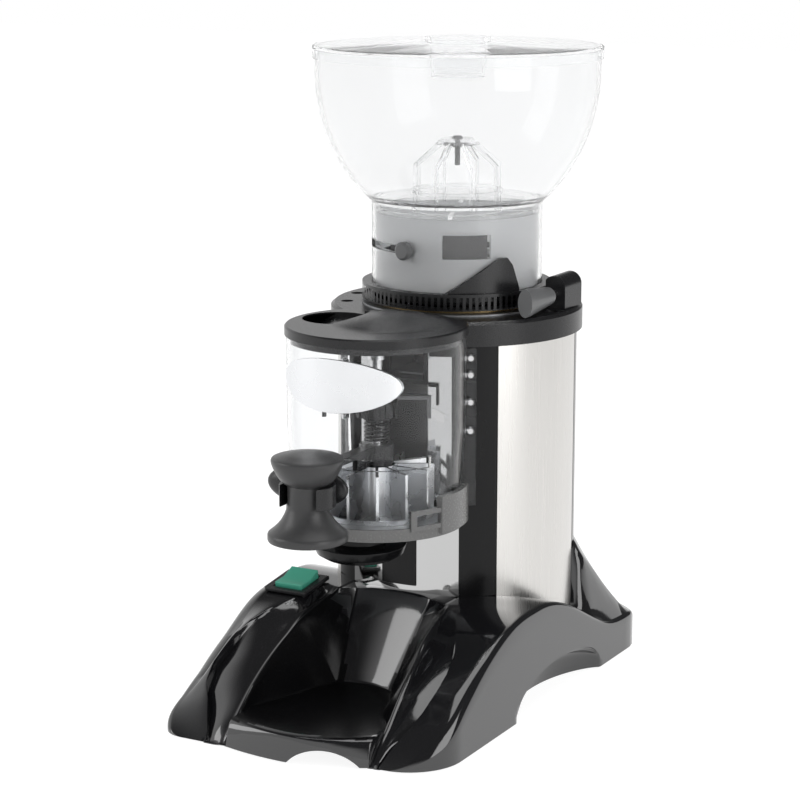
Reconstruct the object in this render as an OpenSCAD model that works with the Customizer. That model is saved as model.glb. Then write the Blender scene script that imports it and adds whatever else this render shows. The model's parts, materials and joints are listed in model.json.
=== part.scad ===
// Burr coffee grinder with a doser: a motor column on a shell base, a clear bean hopper on top and a
// clear dosing chamber in front. +Z is up, the front faces -Y, and the origin is the middle of the
// base's footprint, on the surface that the feet stand on. Millimetres.

/* [Base] */
// Width of the base across its side skirts
base_w = 194; // [188:1:210]
// Depth of the base from the lip to the rear edge
base_d = 336; // [330:1:350]
// Distance from the column's axis back to the rear edge
col_back = 105; // [100:1:112]
// Wall thickness of the base shell
shell_wall = 3; // [2.5:0.25:3.5]
// Gap between the shell's lower edge and the floor
edge_gap = 1; // [0.5:0.25:1.5]
// Height of the deck and of the skirt's crest
deck_h = 70; // [68:1:76]
// Height of the skirt at the rear corners
skirt_rear_h = 21; // [18:1:26]
// Height of the front lip
lip_h = 18; // [16:1:22]
// Half width of the front lip
lip_half = 53; // [48:1:56]
// Distance of the wings' tips in front of the column's axis
wing_reach = 214; // [208:1:218]
// Radius of the rear corners
rear_corner_r = 20; // [12:1:30]
// Radius of the wings' front corners
wing_corner_r = 36; // [26:1:42]
// Half width of the tray at its rim
tray_half = 46; // [42:1:48]
// Half width of the tray floor at its back
tray_back_half = 22; // [16:1:28]
// Deepest step of the inner panel of each wing
leaf_step = 5; // [2:0.5:6]
// Half length of the hand grip arch
grip_half = 64; // [50:1:70]
// Height of the hand grip arch
grip_h = 27; // [20:1:30]
// Depth of the hand grip scoop
grip_depth = 22; // [14:1:24]
// Width of the cord notch in the lip
notch_w = 36; // [28:1:40]
// Height of the cord notch
notch_h = 10; // [7:1:12]
// Sideways place of the cord notch
notch_x = 22; // [16:1:26]
// Top of the flare that rises behind the column
flare_top = 90; // [80:1:110]
// Thickness of the base plate
plate_t = 2; // [1.5:0.5:3]
// Radius of a foot
foot_r = 9; // [7:0.5:11]
// Height of a foot
foot_h = 4; // [3.5:0.25:5]

/* [Column] */
// Outer radius of the column
col_r = 81.3; // [80:0.1:82]
// Thickness of the side panels
panel_t = 1.2; // [0.8:0.1:1.5]
// Thickness of the moulded front and rear shells
mould_t = 3; // [2.4:0.2:3.6]
// Half angle of the polished front panel
front_half_a = 29; // [26:1:30]
// Half angle of the black centre trim
trim_half_a = 9; // [6:1:12]
// Angle from the front where the side panels start
side_a0 = 47; // [44:1:50]
// Angle from the front where the side panels end
side_a1 = 104; // [98:1:110]
// Height of the column's top
col_top = 238; // [236:1:242]
// Radius of the top cover
cover_r = 84.9; // [84:0.1:86]
// Height of the top cover's rim
cover_h = 16; // [14:1:18]
// Outer radius of the body casting
casting_r = 70; // [68:0.5:70.3]
// Wall of the body casting
casting_wall = 4; // [3:0.5:5]

/* [Motor] */
// Outer radius of the stator
stator_r = 62; // [58:1:63]
// Bore radius of the stator
stator_bore = 34; // [30:1:38]
// Height of the stator stack
stator_h = 60; // [45:1:66]
// Height of the stator's lower face
stator_z = 76; // [74:1:80]
// Air gap between rotor and stator
air_gap = 0.5; // [0.3:0.1:1]
// Radius of the motor shaft
shaft_r = 7; // [6:0.5:8]
// Outer radius of the shaft bearings
bearing_r = 16; // [14:0.5:18]
// Height of the shaft bearings
bearing_h = 10; // [8:1:12]
// Radius of the cooling fan
fan_r = 53; // [46:1:54]
// Radius of the start capacitor
cap_r = 15; // [12:1:17]
// Length of the start capacitor
cap_l = 60; // [45:1:70]

/* [Burrs] */
// Outer radius of the burrs
burr_r = 32; // [30:0.5:34]
// Bore radius of the burrs
burr_bore = 19; // [17:0.5:21]
// Thickness of a burr
burr_t = 7; // [6:0.5:8]
// Gap between the burrs at the finest setting
burr_gap = 0.4; // [0.3:0.1:1]
// Outer radius of the grinding chamber
chamber_r = 64; // [62:0.5:65]
// Bore radius of the grinding chamber
chamber_bore = 56; // [52:0.5:57]
// Outer radius of the adjusting ring over its teeth
ring_r = 65; // [64:0.25:67]
// Height of the adjusting ring's toothed band
ring_h = 11; // [9:1:13]
// Number of teeth on the adjusting ring
ring_teeth = 96; // [72:1:110]
// Depth of the ring's teeth
tooth_depth = 1.2; // [0.8:0.1:1.6]
// Top of the two ears on the adjusting ring
ear_top = 291; // [282:1:296]
// Radius of the worm
worm_r = 6; // [5:0.25:7]

/* [Hopper] */
// Outer radius of the hopper neck
neck_r = 57.4; // [56:0.1:58]
// Wall of the clear mouldings
clear_t = 2.5; // [2:0.25:3]
// Outer radius of the hopper bowl at its rim
bowl_r = 95; // [90:0.5:96]
// Height where the bowl meets the neck
bowl_z = 323; // [318:1:328]
// Height of the bowl's rim
rim_z = 423; // [410:1:424]
// Thickness of the lid
lid_t = 2.5; // [2:0.25:3.5]
// Radius of the finger cup's flange
cup_flange_r = 22; // [18:1:26]
// Depth of the finger cup
cup_depth = 24; // [16:1:28]
// Radius of the bean guard's shoulder
guard_r = 29.6; // [24:0.2:32]
// Height of the bean guard's cap
guard_top = 364; // [350:1:370]
// Number of bars in the bean guard
guard_bars = 8; // [6:1:10]
// Radius of the round shutter knob
shutter_knob_r = 6; // [5:0.5:7]
// Travel of the shutter
shutter_travel = 45; // [30:1:45]

/* [Doser] */
// Distance from the column's axis to the doser's axis
doser_reach = 110.6; // [108:0.2:112]
// Outer radius of the doser at its lid
doser_r = 57.7; // [56:0.1:58.5]
// Outer radius of the doser near its floor
doser_low_r = 55.5; // [54:0.1:56.5]
// Height of the doser's underside
doser_z0 = 127; // [124:1:130]
// Height of the doser body's top
doser_z1 = 249.5; // [248:0.25:250.5]
// Height of the doser lid's rim
dlid_h = 6.5; // [5:0.5:8]
// Height of the hump on the doser lid
dlid_hump = 6; // [4:0.5:7]
// Outer radius of the star wheel
star_r = 37; // [32:0.5:37.5]
// Height of the star wheel
star_h = 32; // [26:1:34]
// Number of star wheel vanes
star_vanes = 12; // [8:1:14]
// Radius of the star wheel's shaft
star_shaft_r = 4; // [3:0.25:5]
// Stroke of the dosing lever
lever_stroke = 60; // [40:1:60]
// Radius of the outlet dish
dish_r = 30; // [26:1:32]
// Height of the outlet dish's lower edge
dish_z = 100; // [96:1:104]
// Distance from the doser's axis to the outlet
outlet_reach = 22; // [20:1:24]
// Radius of the outlet bore
outlet_r = 13; // [10:0.5:15]

/* [Tamper] */
// Distance from the doser's axis to the tamper's axis
tamper_reach = 86.5; // [86.4:0.1:88]
// Radius of the tamper's upper disc
tamper_top_r = 22.5; // [20:0.5:23.5]
// Radius of the tamper's waist
tamper_waist_r = 12.5; // [10:0.5:13]
// Radius of the tamper's lower bell
tamper_bell_r = 25; // [22:0.5:25]
// Overall height of the tamper
tamper_h = 56; // [52:1:60]

/* [Switch] */
// Side of the square switch frame
switch_w = 32; // [28:1:33]
// Width of the rocker
rocker_w = 21; // [18:1:23]
// Length of the rocker
rocker_l = 24; // [20:1:25]
// Sideways place of the switch on the left wing
switch_x = 69; // [66:1:71]
// Distance of the switch in front of the column's axis
switch_reach = 97; // [95:1:100]

/* [Hidden] */
$fn = 96;

eps = 0.01;                 // overreach of a cut
gap = 0.3;                  // gap between separate bodies
fit = 0.05;                 // radial running clearance of a shaft
seat = 0.2;                 // side gap of a seated piece
cut = 400;                  // reach of a cut that goes right through
plastic = [0.07, 0.07, 0.07];
steel = [0.8, 0.79, 0.76];
cast_grey = [0.6, 0.61, 0.62];
clear = [0.85, 0.88, 0.9, 0.35];

// Places that follow from the sizes
col_y = base_d / 2 - col_back;
doser_y = col_y - doser_reach;
tamper_y = doser_y - tamper_reach;
outlet_y = doser_y - outlet_reach;
crest_y = col_y - 80;
wing_y = col_y - wing_reach;
lip_y = -base_d / 2;
rear_y = base_d / 2;

// Points of an arc, from one angle to another
function arc(c, r, a0, a1, n = 12) =
    [for (i = [0:n]) let (a = a0 + (a1 - a0) * i / n) [c[0] + r * cos(a), c[1] + r * sin(a)]];
function mirror_x(pts) = [for (i = [len(pts) - 1:-1:0]) [-pts[i][0], pts[i][1]]];

// ---------------------------------------------------------------- base

// The lip bulges forward on an arc through its two ends and its middle
lip_end_y = wing_y + 4;
lip_sagitta = lip_end_y - lip_y;
lip_arc_r = (lip_half * lip_half + lip_sagitta * lip_sagitta) / (2 * lip_sagitta);
lip_arc_a = asin(lip_half / lip_arc_r);

// Half of the plan outline, from the rear middle round to the front middle, drawn in by i
function half_plan(i) = concat(
    [[0, rear_y - i]],
    arc([base_w / 2 - rear_corner_r, rear_y - rear_corner_r], rear_corner_r - i, 90, 0),
    arc([base_w / 2 - wing_corner_r, wing_y + wing_corner_r], wing_corner_r - i, 0, -90),
    arc([0, lip_y + lip_arc_r], lip_arc_r - i, -90 + lip_arc_a, -90));
module plan(i = 0) polygon(concat(half_plan(i), mirror_x(half_plan(i))));

// Height of the wings in front of the crest, and of the skirt behind it
wing_len = wing_reach - (col_y - crest_y);
wing_rise = deck_h - edge_gap;
function wing_z(y) = deck_h - wing_rise * pow((crest_y - y) / wing_len, 2);
wave_start = crest_y + 13;
wave_end = rear_y - 19;
function wave_z(y) = y < wave_start ? deck_h : y > wave_end ? skirt_rear_h
    : skirt_rear_h + (deck_h - skirt_rear_h) * (1 + cos(180 * (y - wave_start) / (wave_end - wave_start))) / 2;
function side_z(y) = y < crest_y ? wing_z(y) : wave_z(y);
side_steps = 40;

// Solid under the side profile, lowered by i on top; it runs right across the base
module side_block(i = 0, z0 = edge_gap) {
    y0 = wing_y + i;
    y1 = rear_y - i;
    pts = [for (k = [0:side_steps]) let (y = y0 + (y1 - y0) * k / side_steps)
        [y, max(z0 + eps, side_z(y) - i)]];
    rotate([90, 0, 90])
        linear_extrude(base_w, center = true)
            polygon(concat(pts, [[y1, z0], [y0, z0]]));
}

// Lip block in front of the tray
module lip_block(i = 0, z0 = edge_gap)
    translate([-lip_half + i, lip_y, z0])
        cube([2 * (lip_half - i), lip_end_y - lip_y + wing_corner_r, lip_h - i - z0]);

// Concave flare that rises from the rear deck to the column
flare_run = 56;             // how far the flare spreads from the column
flare_foot = 20;            // height where its curve runs out
flare_power = 1.5;          // how hollow its curve is
function flare_z(t, i) = flare_foot + (flare_top - flare_foot) * pow(1 - t, flare_power) - i;
flare_steps = 16;
function flare_pts(run, i) = concat(
    [for (k = [0:flare_steps]) let (t = k / flare_steps) [col_r - i + run * t, flare_z(t, i)]],
    [[col_r - i + run, edge_gap - i], [0, edge_gap - i], [0, flare_z(0, i)]]);
side_run = base_w / 2 - col_r;
module flare(i = 0) intersection() {
    translate([0, col_y, 0]) rotate_extrude() polygon(flare_pts(flare_run, i));
    rotate([90, 0, 0])
        linear_extrude(2 * base_d, center = true) {
            p = [for (k = [0:flare_steps]) let (t = k / flare_steps)
                [col_r - i + side_run * t, flare_z(t, i)]];
            polygon(concat(p, [[base_w / 2 - i, edge_gap - i], [i - base_w / 2, edge_gap - i]], mirror_x(p)));
        }
    translate([0, col_y, 0])
        linear_extrude(flare_top)
            polygon([[0, 0], [cut * sin(side_a1), -cut * cos(side_a1)], [cut, cut], [-cut, cut],
                [-cut * sin(side_a1), -cut * cos(side_a1)]]);
}

// Outer form of the base, drawn in by i on every side
module base_form(i = 0, z0 = edge_gap) intersection() {
    translate([0, 0, z0]) linear_extrude(flare_top) plan(i);
    union() {
        side_block(i, z0);
        lip_block(i, z0);
        flare(i);
    }
}

// The tray: a trough whose walls lean out from a narrow floor to the rims, open over the lip
tray_back_top = crest_y - 4;
tray_back_floor = tray_back_top - 28;
tray_mouth = wing_y + 6;    // where the trough runs out between the wings' tips
tray_front = lip_y - 10;
tray_top = 130;
tray_steps = 5;
function tray_ring(y_rim, y_floor, half_floor, grow) = [
    [-tray_half - grow, y_rim, tray_top], [-tray_half - grow, y_rim, tray_rim_z(y_rim) - grow],
    [-half_floor - grow, y_floor, lip_h - grow], [half_floor + grow, y_floor, lip_h - grow],
    [tray_half + grow, y_rim, tray_rim_z(y_rim) - grow], [tray_half + grow, y_rim, tray_top]];
function tray_rim_z(y) = max(lip_h + 0.5, wing_z(min(crest_y, y)));
module loft(rings) {
    n = len(rings[0]);
    m = len(rings);
    polyhedron(
        points = [for (r = rings) for (p = r) p],
        faces = concat(
            [[for (i = [0:n - 1]) i]],
            [[for (i = [n - 1:-1:0]) (m - 1) * n + i]],
            [for (j = [0:m - 2]) for (i = [0:n - 1]) [j * n + i, (j + 1) * n + i, (j + 1) * n + (i + 1) % n]],
            [for (j = [0:m - 2]) for (i = [0:n - 1])
                [j * n + i, (j + 1) * n + (i + 1) % n, j * n + (i + 1) % n]]));
}
module tray_form(grow = 0) loft(concat(
    [for (k = [0:tray_steps]) let (t = k / tray_steps) tray_ring(
        (tray_back_top + grow) * (1 - t) + tray_mouth * t,
        (tray_back_floor + grow) * (1 - t) + tray_mouth * t,
        tray_back_half * (1 - t) + (tray_half - 1) * t, grow)],
    [tray_ring(tray_front, tray_front, tray_half - 1, grow)]));

// Inner panel of each wing, stepped down below the wing around it
leaf_y0 = wing_y + 4;
leaf_y1 = tray_back_floor - 1;
leaf_bulge = base_w / 2 - 16;   // half width of the base at the panel's widest place
leaf_ends = tray_half + 14; // half width at the panel's two ends
leaf_lap = 2;               // how far the panel reaches over the tray's rim
leaf_steps = 16;
module leaf_cut(grow = 0) {
    function edge(t) = leaf_ends + (leaf_bulge - leaf_ends) * sin(180 * pow(t, 0.8)) + grow;
    function drop(t) = leaf_step * sin(180 * pow(1 - t, 2)) + grow;
    ts = [for (k = [0:leaf_steps]) k / leaf_steps];
    outline = [for (t = ts) [edge(t), leaf_y0 + (leaf_y1 - leaf_y0) * t]];
    low = [for (t = ts) let (y = leaf_y0 + (leaf_y1 - leaf_y0) * t) [y, wing_z(y) - drop(t)]];
    difference() {
        translate([0, 0, -grow])
            linear_extrude(deck_h + 1 + grow)
                polygon(concat(outline, [[tray_half - leaf_lap, leaf_y1], [tray_half - leaf_lap, leaf_y0]]));
        rotate([90, 0, 90])
            linear_extrude(base_w)
                polygon(concat(low, [[leaf_y1, -cut], [leaf_y0, -cut]]));
    }
}

// Scooped hand grip on each side
grip_y = col_y - 34;
grip_arc_r = (grip_half * grip_half + grip_depth * grip_depth) / (2 * grip_depth);
grip_arc_x = base_w / 2 - grip_depth + grip_arc_r;
module grip_cut(grow = 0) intersection() {
    rotate([90, 0, 90])
        linear_extrude(base_w)
            polygon([for (a = [0:7.5:180])
                [grip_y + (grip_half + grow) * cos(a), -eps + (grip_h + grow) * sin(a)]]);
    translate([grip_arc_x, grip_y, -1]) cylinder(h = deck_h, r = grip_arc_r + grow);
}
module both_sides() {
    children();
    mirror([1, 0, 0]) children();
}

// Ring sector about the column's axis; a0 and a1 are angles from the front
module sector(r0, r1, z0, z1, a0, a1)
    translate([0, col_y, z0])
        rotate([0, 0, -90 + a0])
            rotate_extrude(angle = a1 - a0)
                translate([r0, 0]) square([r1 - r0, z1 - z0]);

casting_foot_z = foot_h + plate_t;
panel_foot = 24;            // height of the side panels' lower edge
boss_r = 6;                 // radius of the screw bosses
screw_r = 2;                // radius of the base screws
screw_l = 12;               // length of a base screw above the base plate
foot_x = 70;
foot_front_y = wing_y + 26;
foot_rear_y = rear_y - 26;
boss_x = 58;
boss_front_y = wing_y + 62;
boss_rear_y = rear_y - 18;
boss_spots = [[boss_x, boss_front_y], [-boss_x, boss_front_y], [boss_x, boss_rear_y], [-boss_x, boss_rear_y]];
foot_spots = [[foot_x, foot_front_y], [-foot_x, foot_front_y], [foot_x, foot_rear_y], [-foot_x, foot_rear_y]];
switch_y = col_y - switch_reach;
switch_tilt = atan(2 * wing_rise * (crest_y - switch_y) / (wing_len * wing_len));
switch_z = wing_z(switch_y);
socket_w = switch_w - 5;    // side of the hole behind the switch frame
gland_r = 6;
gland_z = 19;
cord_hole_r = 3.5;

module switch_place()
    translate([-switch_x, switch_y, switch_z]) rotate([switch_tilt, 0, 0]) children();

module base_shell() color(plastic) difference() {
    union() {
        difference() {
            base_form(0);
            difference() {
                base_form(shell_wall, 0);
                tray_form(shell_wall);
                both_sides() grip_cut(shell_wall);
                both_sides() leaf_cut(shell_wall);
            }
        }
        // Screw bosses under the wings and the rear deck
        intersection() {
            for (s = boss_spots) translate([s[0], s[1], casting_foot_z]) cylinder(h = flare_top, r = boss_r);
            base_form(0);
        }
    }
    for (s = boss_spots) translate([s[0], s[1], 0]) cylinder(h = casting_foot_z + screw_l, r = screw_r);
    tray_form(0);
    both_sides() leaf_cut();
    both_sides() grip_cut();
    // Hole for the body casting and slots for the side panels
    translate([0, col_y, panel_foot]) cylinder(h = cut, r = casting_r + seat);
    for (a = [side_a0, -side_a1])
        sector(col_r - mould_t, col_r + seat, panel_foot, cut, a - seat, a + side_a1 - side_a0 + seat);
    // Cord notch in the lip
    notch_r = (notch_w * notch_w / 4 + notch_h * notch_h) / (2 * notch_h);
    translate([notch_x, lip_y - 1, notch_h - notch_r])
        rotate([-90, 0, 0]) cylinder(h = lip_end_y - lip_y + shell_wall, r = notch_r);
    switch_place() cube([socket_w, socket_w, 4 * shell_wall], center = true);
    translate([0, rear_y, gland_z])
        rotate([90, 0, 0]) cylinder(h = 4 * shell_wall, r = gland_r + seat, center = true);
}

plate_gap = 0.5;            // gap between the base plate and the shell around it
// The cavity under the wings' tips is too low for the plate, which ends behind them
plate_tip_z = foot_h + plate_t + plate_gap + 2 * shell_wall;
plate_tip_y = crest_y - wing_len * sqrt((deck_h - plate_tip_z) / wing_rise);
module base_plate() color(steel) difference() {
    translate([0, 0, foot_h]) linear_extrude(plate_t) plan(shell_wall + plate_gap + 1);
    both_sides() grip_cut(shell_wall + plate_gap + 1);
    both_sides() translate([tray_half - leaf_lap - plate_gap, wing_y - 1, 0])
        cube([base_w, plate_tip_y - wing_y + 1, cut]);
    for (s = foot_spots) translate([s[0], s[1], 0]) cylinder(h = cut, r = foot_stud_r + fit);
    for (s = boss_spots) translate([s[0], s[1], 0]) cylinder(h = cut, r = screw_r + seat);
    for (a = bolt_angles) translate([0, col_y, 0]) rotate([0, 0, a])
        translate([bolt_circle_r, 0, 0]) cylinder(h = cut, r = motor_bolt_r + seat);
}

foot_stud_r = 3;
module feet() color([0.12, 0.12, 0.12]) for (s = foot_spots) translate([s[0], s[1], 0]) {
    cylinder(h = foot_h, r1 = foot_r - 1, r2 = foot_r);
    translate([0, 0, foot_h - eps]) cylinder(h = plate_t + 1, r = foot_stud_r);
    translate([0, 0, foot_h + plate_t + eps]) cylinder(h = 2, r1 = foot_stud_r + 1, r2 = foot_stud_r);
}

module base_screws() color(steel) for (s = boss_spots) translate([s[0], s[1], foot_h - 2]) {
    cylinder(h = 2, r = 2 * screw_r);
    cylinder(h = plate_t + screw_l, r = screw_r - fit);
}

module cable_gland() color([0.1, 0.1, 0.1]) translate([0, rear_y, gland_z]) rotate([90, 0, 0])
    difference() {
        union() {
            translate([0, 0, eps]) cylinder(h = shell_wall + 4, r = gland_r);
            translate([0, 0, shell_wall + gap]) cylinder(h = 3, r = gland_r + 2.5);
        }
        translate([0, 0, -1]) cylinder(h = 20, r = cord_hole_r);
    }

frame_t = 3;                // thickness of the switch frame
rocker_pivot = 1;           // height of the rocker's axis over the wing
module switch_frame() color(plastic) switch_place() difference() {
    union() {
        translate([-switch_w / 2, -switch_w / 2, gap]) cube([switch_w, switch_w, frame_t]);
        translate([-socket_w / 2 + seat, -socket_w / 2 + seat, -14])
            cube([socket_w - 2 * seat, socket_w - 2 * seat, 14 + gap + eps]);
    }
    translate([-rocker_w / 2 - gap, -rocker_l / 2 - gap, -10])
        cube([rocker_w + 2 * gap, rocker_l + 2 * gap, 20]);
}

module switch_rocker() color([0.1, 0.5, 0.35]) switch_place()
    translate([0, 0, rocker_pivot])
        rotate([90, 0, 90])
            linear_extrude(rocker_w, center = true)
                polygon([[-rocker_l / 2 + 1, -4], [rocker_l / 2 - 1, -4], [rocker_l / 2 - 0.8, 7.5],
                    [0, 4.5], [-rocker_l / 2 + 0.8, 5]]);

// ---------------------------------------------------------------- column

casting_top = 196;          // where the casting hands over to the grinding chamber
motor_bolt_r = 2.5;
bolt_post_r = 5;            // radius of the posts that the motor's bolts run through
bolt_circle_r = casting_r - casting_wall - bolt_post_r + 0.5;
bolt_angles = [45:90:315];
shield_z = 44;
flange_z = 158;
flange_t = 8;
flange_top = flange_z + flange_t;

module bolt_posts(z0, z1, r = bolt_post_r) for (a = bolt_angles) translate([0, col_y, z0]) rotate([0, 0, a])
    translate([bolt_circle_r, 0, 0]) cylinder(h = z1 - z0, r = r);

module body_casting() color(cast_grey) difference() {
    union() {
        translate([0, col_y, casting_foot_z]) cylinder(h = casting_top - casting_foot_z, r = casting_r);
        // Rib at each panel edge, which the panels are held against
        for (a = [front_half_a + 9, side_a0 + 3, side_a1 - 3, 150])
            for (s = [-1, 1])
                translate([0, col_y, flare_top]) rotate([0, 0, -90 + s * a])
                    translate([casting_r - 2, -2.5, 0])
                        cube([col_r - mould_t - seat - casting_r + 2, 5, casting_top - flare_top - 2]);
    }
    difference() {
        translate([0, col_y, casting_foot_z + casting_wall]) cylinder(h = cut, r = casting_r - casting_wall);
        bolt_posts(casting_foot_z, shield_z);
    }
    translate([0, col_y, 0]) cylinder(h = cut, r = bolt_circle_r - bolt_post_r - 1);
    bolt_posts(0, cut, motor_bolt_r + fit);
}

front_foot = deck_h + eps;
chute_w = 40;               // outside width of the outlet chute
chute_z0 = 212;             // underside of the chute
chute_h = 24;               // outside height of the chute
module chute_window()
    translate([-chute_w / 2 - seat, col_y - cover_r - 10, chute_z0 - seat])
        cube([chute_w + 2 * seat, col_r - chamber_r + 20, chute_h + 2 * seat]);

// Round niche in the column's front, which the doser's star wheel turns in
niche_r = star_r + 1;
niche_wall = 2;
module niche(r = niche_r, z0 = floor_top, z1 = col_top + 20)
    translate([0, doser_y, z0]) cylinder(h = z1 - z0, r = r);

module column_front() color(plastic) difference() {
    union() {
        sector(col_r - mould_t, col_r - panel_t, front_foot + 0.5, col_top - 0.5, -side_a0 + 0.5, side_a0 - 0.5);
        for (a = [front_half_a + 0.2, -side_a0 + 0.3])
            sector(col_r - panel_t - 0.5, col_r, front_foot, col_top, a, a + side_a0 - front_half_a - 0.5);
        intersection() {
            niche(niche_r + niche_wall, floor_top - niche_wall, col_top - 1);
            translate([0, col_y, 0]) cylinder(h = col_top, r = col_r - panel_t - 0.5);
        }
    }
    niche();
    chute_window();
    for (z = screw_zs) for (s = [-1, 1]) screw_place(s, z) cylinder(h = 3 * screw_len, r = screw_hole_r, center = true);
}

module front_panel() color(steel) difference() {
    sector(col_r - panel_t + 0.02, col_r, front_foot, col_top, -front_half_a, front_half_a);
    niche();
    chute_window();
}

trim_t = 0.8;
module centre_trim() color(plastic)
    sector(col_r + 0.02, col_r + trim_t, front_foot + 6, doser_z0, -trim_half_a, trim_half_a);

module left_steel_panel() color(steel)
    sector(col_r - panel_t, col_r, panel_foot + 1, col_top, -side_a1 + 0.2, -side_a0);
module right_steel_panel() color(steel)
    sector(col_r - panel_t, col_r, panel_foot + 1, col_top, side_a0, side_a1 - 0.2);

module column_rear() color(plastic)
    sector(col_r - mould_t, col_r, flare_top + eps, col_top, side_a1, 360 - side_a1);

cover_z1 = col_top + cover_h;
collar_r = chamber_r + seat;
module top_cover() color(plastic) difference() {
    union() {
        translate([0, col_y, col_top + eps]) cylinder(h = cover_h - 2, r = cover_r);
        translate([0, col_y, cover_z1 - 2]) cylinder(h = 2, r1 = cover_r, r2 = cover_r - 2.5);
    }
    translate([0, col_y, 0]) cylinder(h = cut, r = collar_r);
    translate([0, col_y, col_top - 1]) difference() {
        cylinder(h = cover_h - shell_wall + 1, r = cover_r - shell_wall);
        for (s = cover_spots) translate([s[0], s[1], -1]) cylinder(h = cut, r = boss_r);
        cylinder(h = cut, r = collar_r + shell_wall);
    }
    for (s = cover_spots) translate([s[0], col_y + s[1], 0]) {
        cylinder(h = cut, r = screw_r + seat);
        translate([0, 0, cover_z1 - 3.5]) cylinder(h = 10, r = 2 * screw_r + seat);
    }
}
cover_spot_r = 74;
cover_spots = [for (a = [-150, -112, -68, -5, 60, 120, 185]) [cover_spot_r * cos(a), cover_spot_r * sin(a)]];
module cover_screws() color(steel) for (s = cover_spots) translate([s[0], col_y + s[1], 0]) {
    translate([0, 0, cover_z1 - 3.5 + eps]) cylinder(h = 2, r = 2 * screw_r);
    translate([0, 0, col_top - screw_l]) cylinder(h = screw_l + cover_h - 3, r = screw_r);
}

// ---------------------------------------------------------------- motor

slot_count = 24;
module stator() color([0.45, 0.45, 0.47]) translate([0, col_y, stator_z]) difference() {
    union() {
        cylinder(h = stator_h, r = stator_r);
        translate([0, 0, -12]) cylinder(h = stator_h + 22, r = stator_r - 9);
    }
    translate([0, 0, -cut / 2]) cylinder(h = cut, r = stator_bore);
    for (k = [0:slot_count - 1]) rotate([0, 0, 360 * k / slot_count])
        translate([stator_bore - 1, -1, -1]) cube([5, 2, stator_h + 2]);
    for (a = bolt_angles) rotate([0, 0, a])
        translate([bolt_circle_r, 0, -cut / 2]) cylinder(h = cut, r = motor_bolt_r + fit);
}

module rotor() color([0.55, 0.55, 0.57]) translate([0, col_y, stator_z]) difference() {
    union() {
        cylinder(h = stator_h, r = stator_bore - air_gap);
        translate([0, 0, -4]) cylinder(h = stator_h + 8, r = stator_bore - 8);
    }
    translate([0, 0, -cut / 2]) cylinder(h = cut, r = shaft_r);
}

shaft_z0 = shield_z - 2;
carrier_z = 212;            // underside of the lower burr carrier
carrier_t = 8;
lower_burr_z = carrier_z + carrier_t;
upper_burr_z = lower_burr_z + burr_t + burr_gap;
module motor_shaft() color(steel) {
    translate([0, col_y, shaft_z0]) cylinder(h = lower_burr_z + burr_t - shaft_z0, r = shaft_r);
    translate([0, col_y, lower_burr_z + eps]) cylinder(h = burr_t - 1, r = 1.7 * shaft_r);
}

module bearing(z) color(steel) translate([0, col_y, z]) difference() {
    cylinder(h = bearing_h, r = bearing_r);
    translate([0, 0, -1]) cylinder(h = bearing_h + 2, r = shaft_r + fit);
    translate([0, 0, -eps]) difference() {
        cylinder(h = 1, r = bearing_r - 2.5);
        cylinder(h = 1, r = shaft_r + 2.5);
    }
    translate([0, 0, bearing_h - 1]) difference() {
        cylinder(h = 2, r = bearing_r - 2.5);
        cylinder(h = 2, r = shaft_r + 2.5);
    }
}
module shaft_bearings() {
    bearing(shield_z + 2 + eps);
    bearing(flange_z - 4);
}

module end_shield() color(cast_grey) translate([0, col_y, shield_z]) difference() {
    union() {
        cylinder(h = 12, r = bearing_r + 4);
        for (a = bolt_angles) rotate([0, 0, a]) {
            translate([0, -bolt_post_r, 0]) cube([bolt_circle_r, 2 * bolt_post_r, 6]);
            translate([bolt_circle_r, 0, 0]) cylinder(h = stator_z - shield_z - eps, r = bolt_post_r - 0.5 - seat);
        }
    }
    translate([0, 0, 2]) cylinder(h = cut, r = bearing_r);
    translate([0, 0, -1]) cylinder(h = cut, r = shaft_r + 1);
    for (a = bolt_angles) rotate([0, 0, a])
        translate([bolt_circle_r, 0, -cut / 2]) cylinder(h = cut, r = motor_bolt_r + fit);
}

module motor_flange() color(cast_grey) translate([0, col_y, flange_z]) difference() {
    union() {
        cylinder(h = flange_t, r = casting_r - casting_wall - seat);
        translate([0, 0, -8]) cylinder(h = 8 + eps, r = bearing_r + 4);
        for (a = bolt_angles) rotate([0, 0, a]) translate([bolt_circle_r, 0, stator_z + stator_h + eps - flange_z])
            cylinder(h = flange_z - stator_z - stator_h, r = bolt_post_r - 0.5 - seat);
    }
    translate([0, 0, -9]) cylinder(h = 9 - 4 + bearing_h, r = bearing_r);
    translate([0, 0, -9]) cylinder(h = cut, r = shaft_r + 1);
    for (a = bolt_angles) rotate([0, 0, a])
        translate([bolt_circle_r, 0, -cut / 2]) cylinder(h = cut, r = motor_bolt_r + fit);
}

module motor_bolts() color(steel) for (a = bolt_angles) translate([0, col_y, 0]) rotate([0, 0, a])
    translate([bolt_circle_r, 0, 0]) {
        translate([0, 0, foot_h - 2.5]) cylinder(h = 2.5, r = 2 * motor_bolt_r);
        translate([0, 0, foot_h - eps]) cylinder(h = flange_top + 3 - foot_h, r = motor_bolt_r);
        translate([0, 0, flange_top + eps]) cylinder(h = 3, r = bolt_post_r - 1);
    }

fan_z = stator_z - 16;
fan_blades = 9;
module cooling_fan() color(plastic) translate([0, col_y, fan_z]) difference() {
    union() {
        cylinder(h = 2, r = fan_r);
        translate([0, 0, -1]) cylinder(h = 4, r = shaft_r + 7);
        for (k = [0:fan_blades - 1]) rotate([0, 0, 360 * k / fan_blades])
            translate([shaft_r + 5, -0.8, -3.5]) cube([fan_r - shaft_r - 7, 1.6, 4]);
    }
    translate([0, 0, -10]) cylinder(h = 20, r = shaft_r);
}

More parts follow.
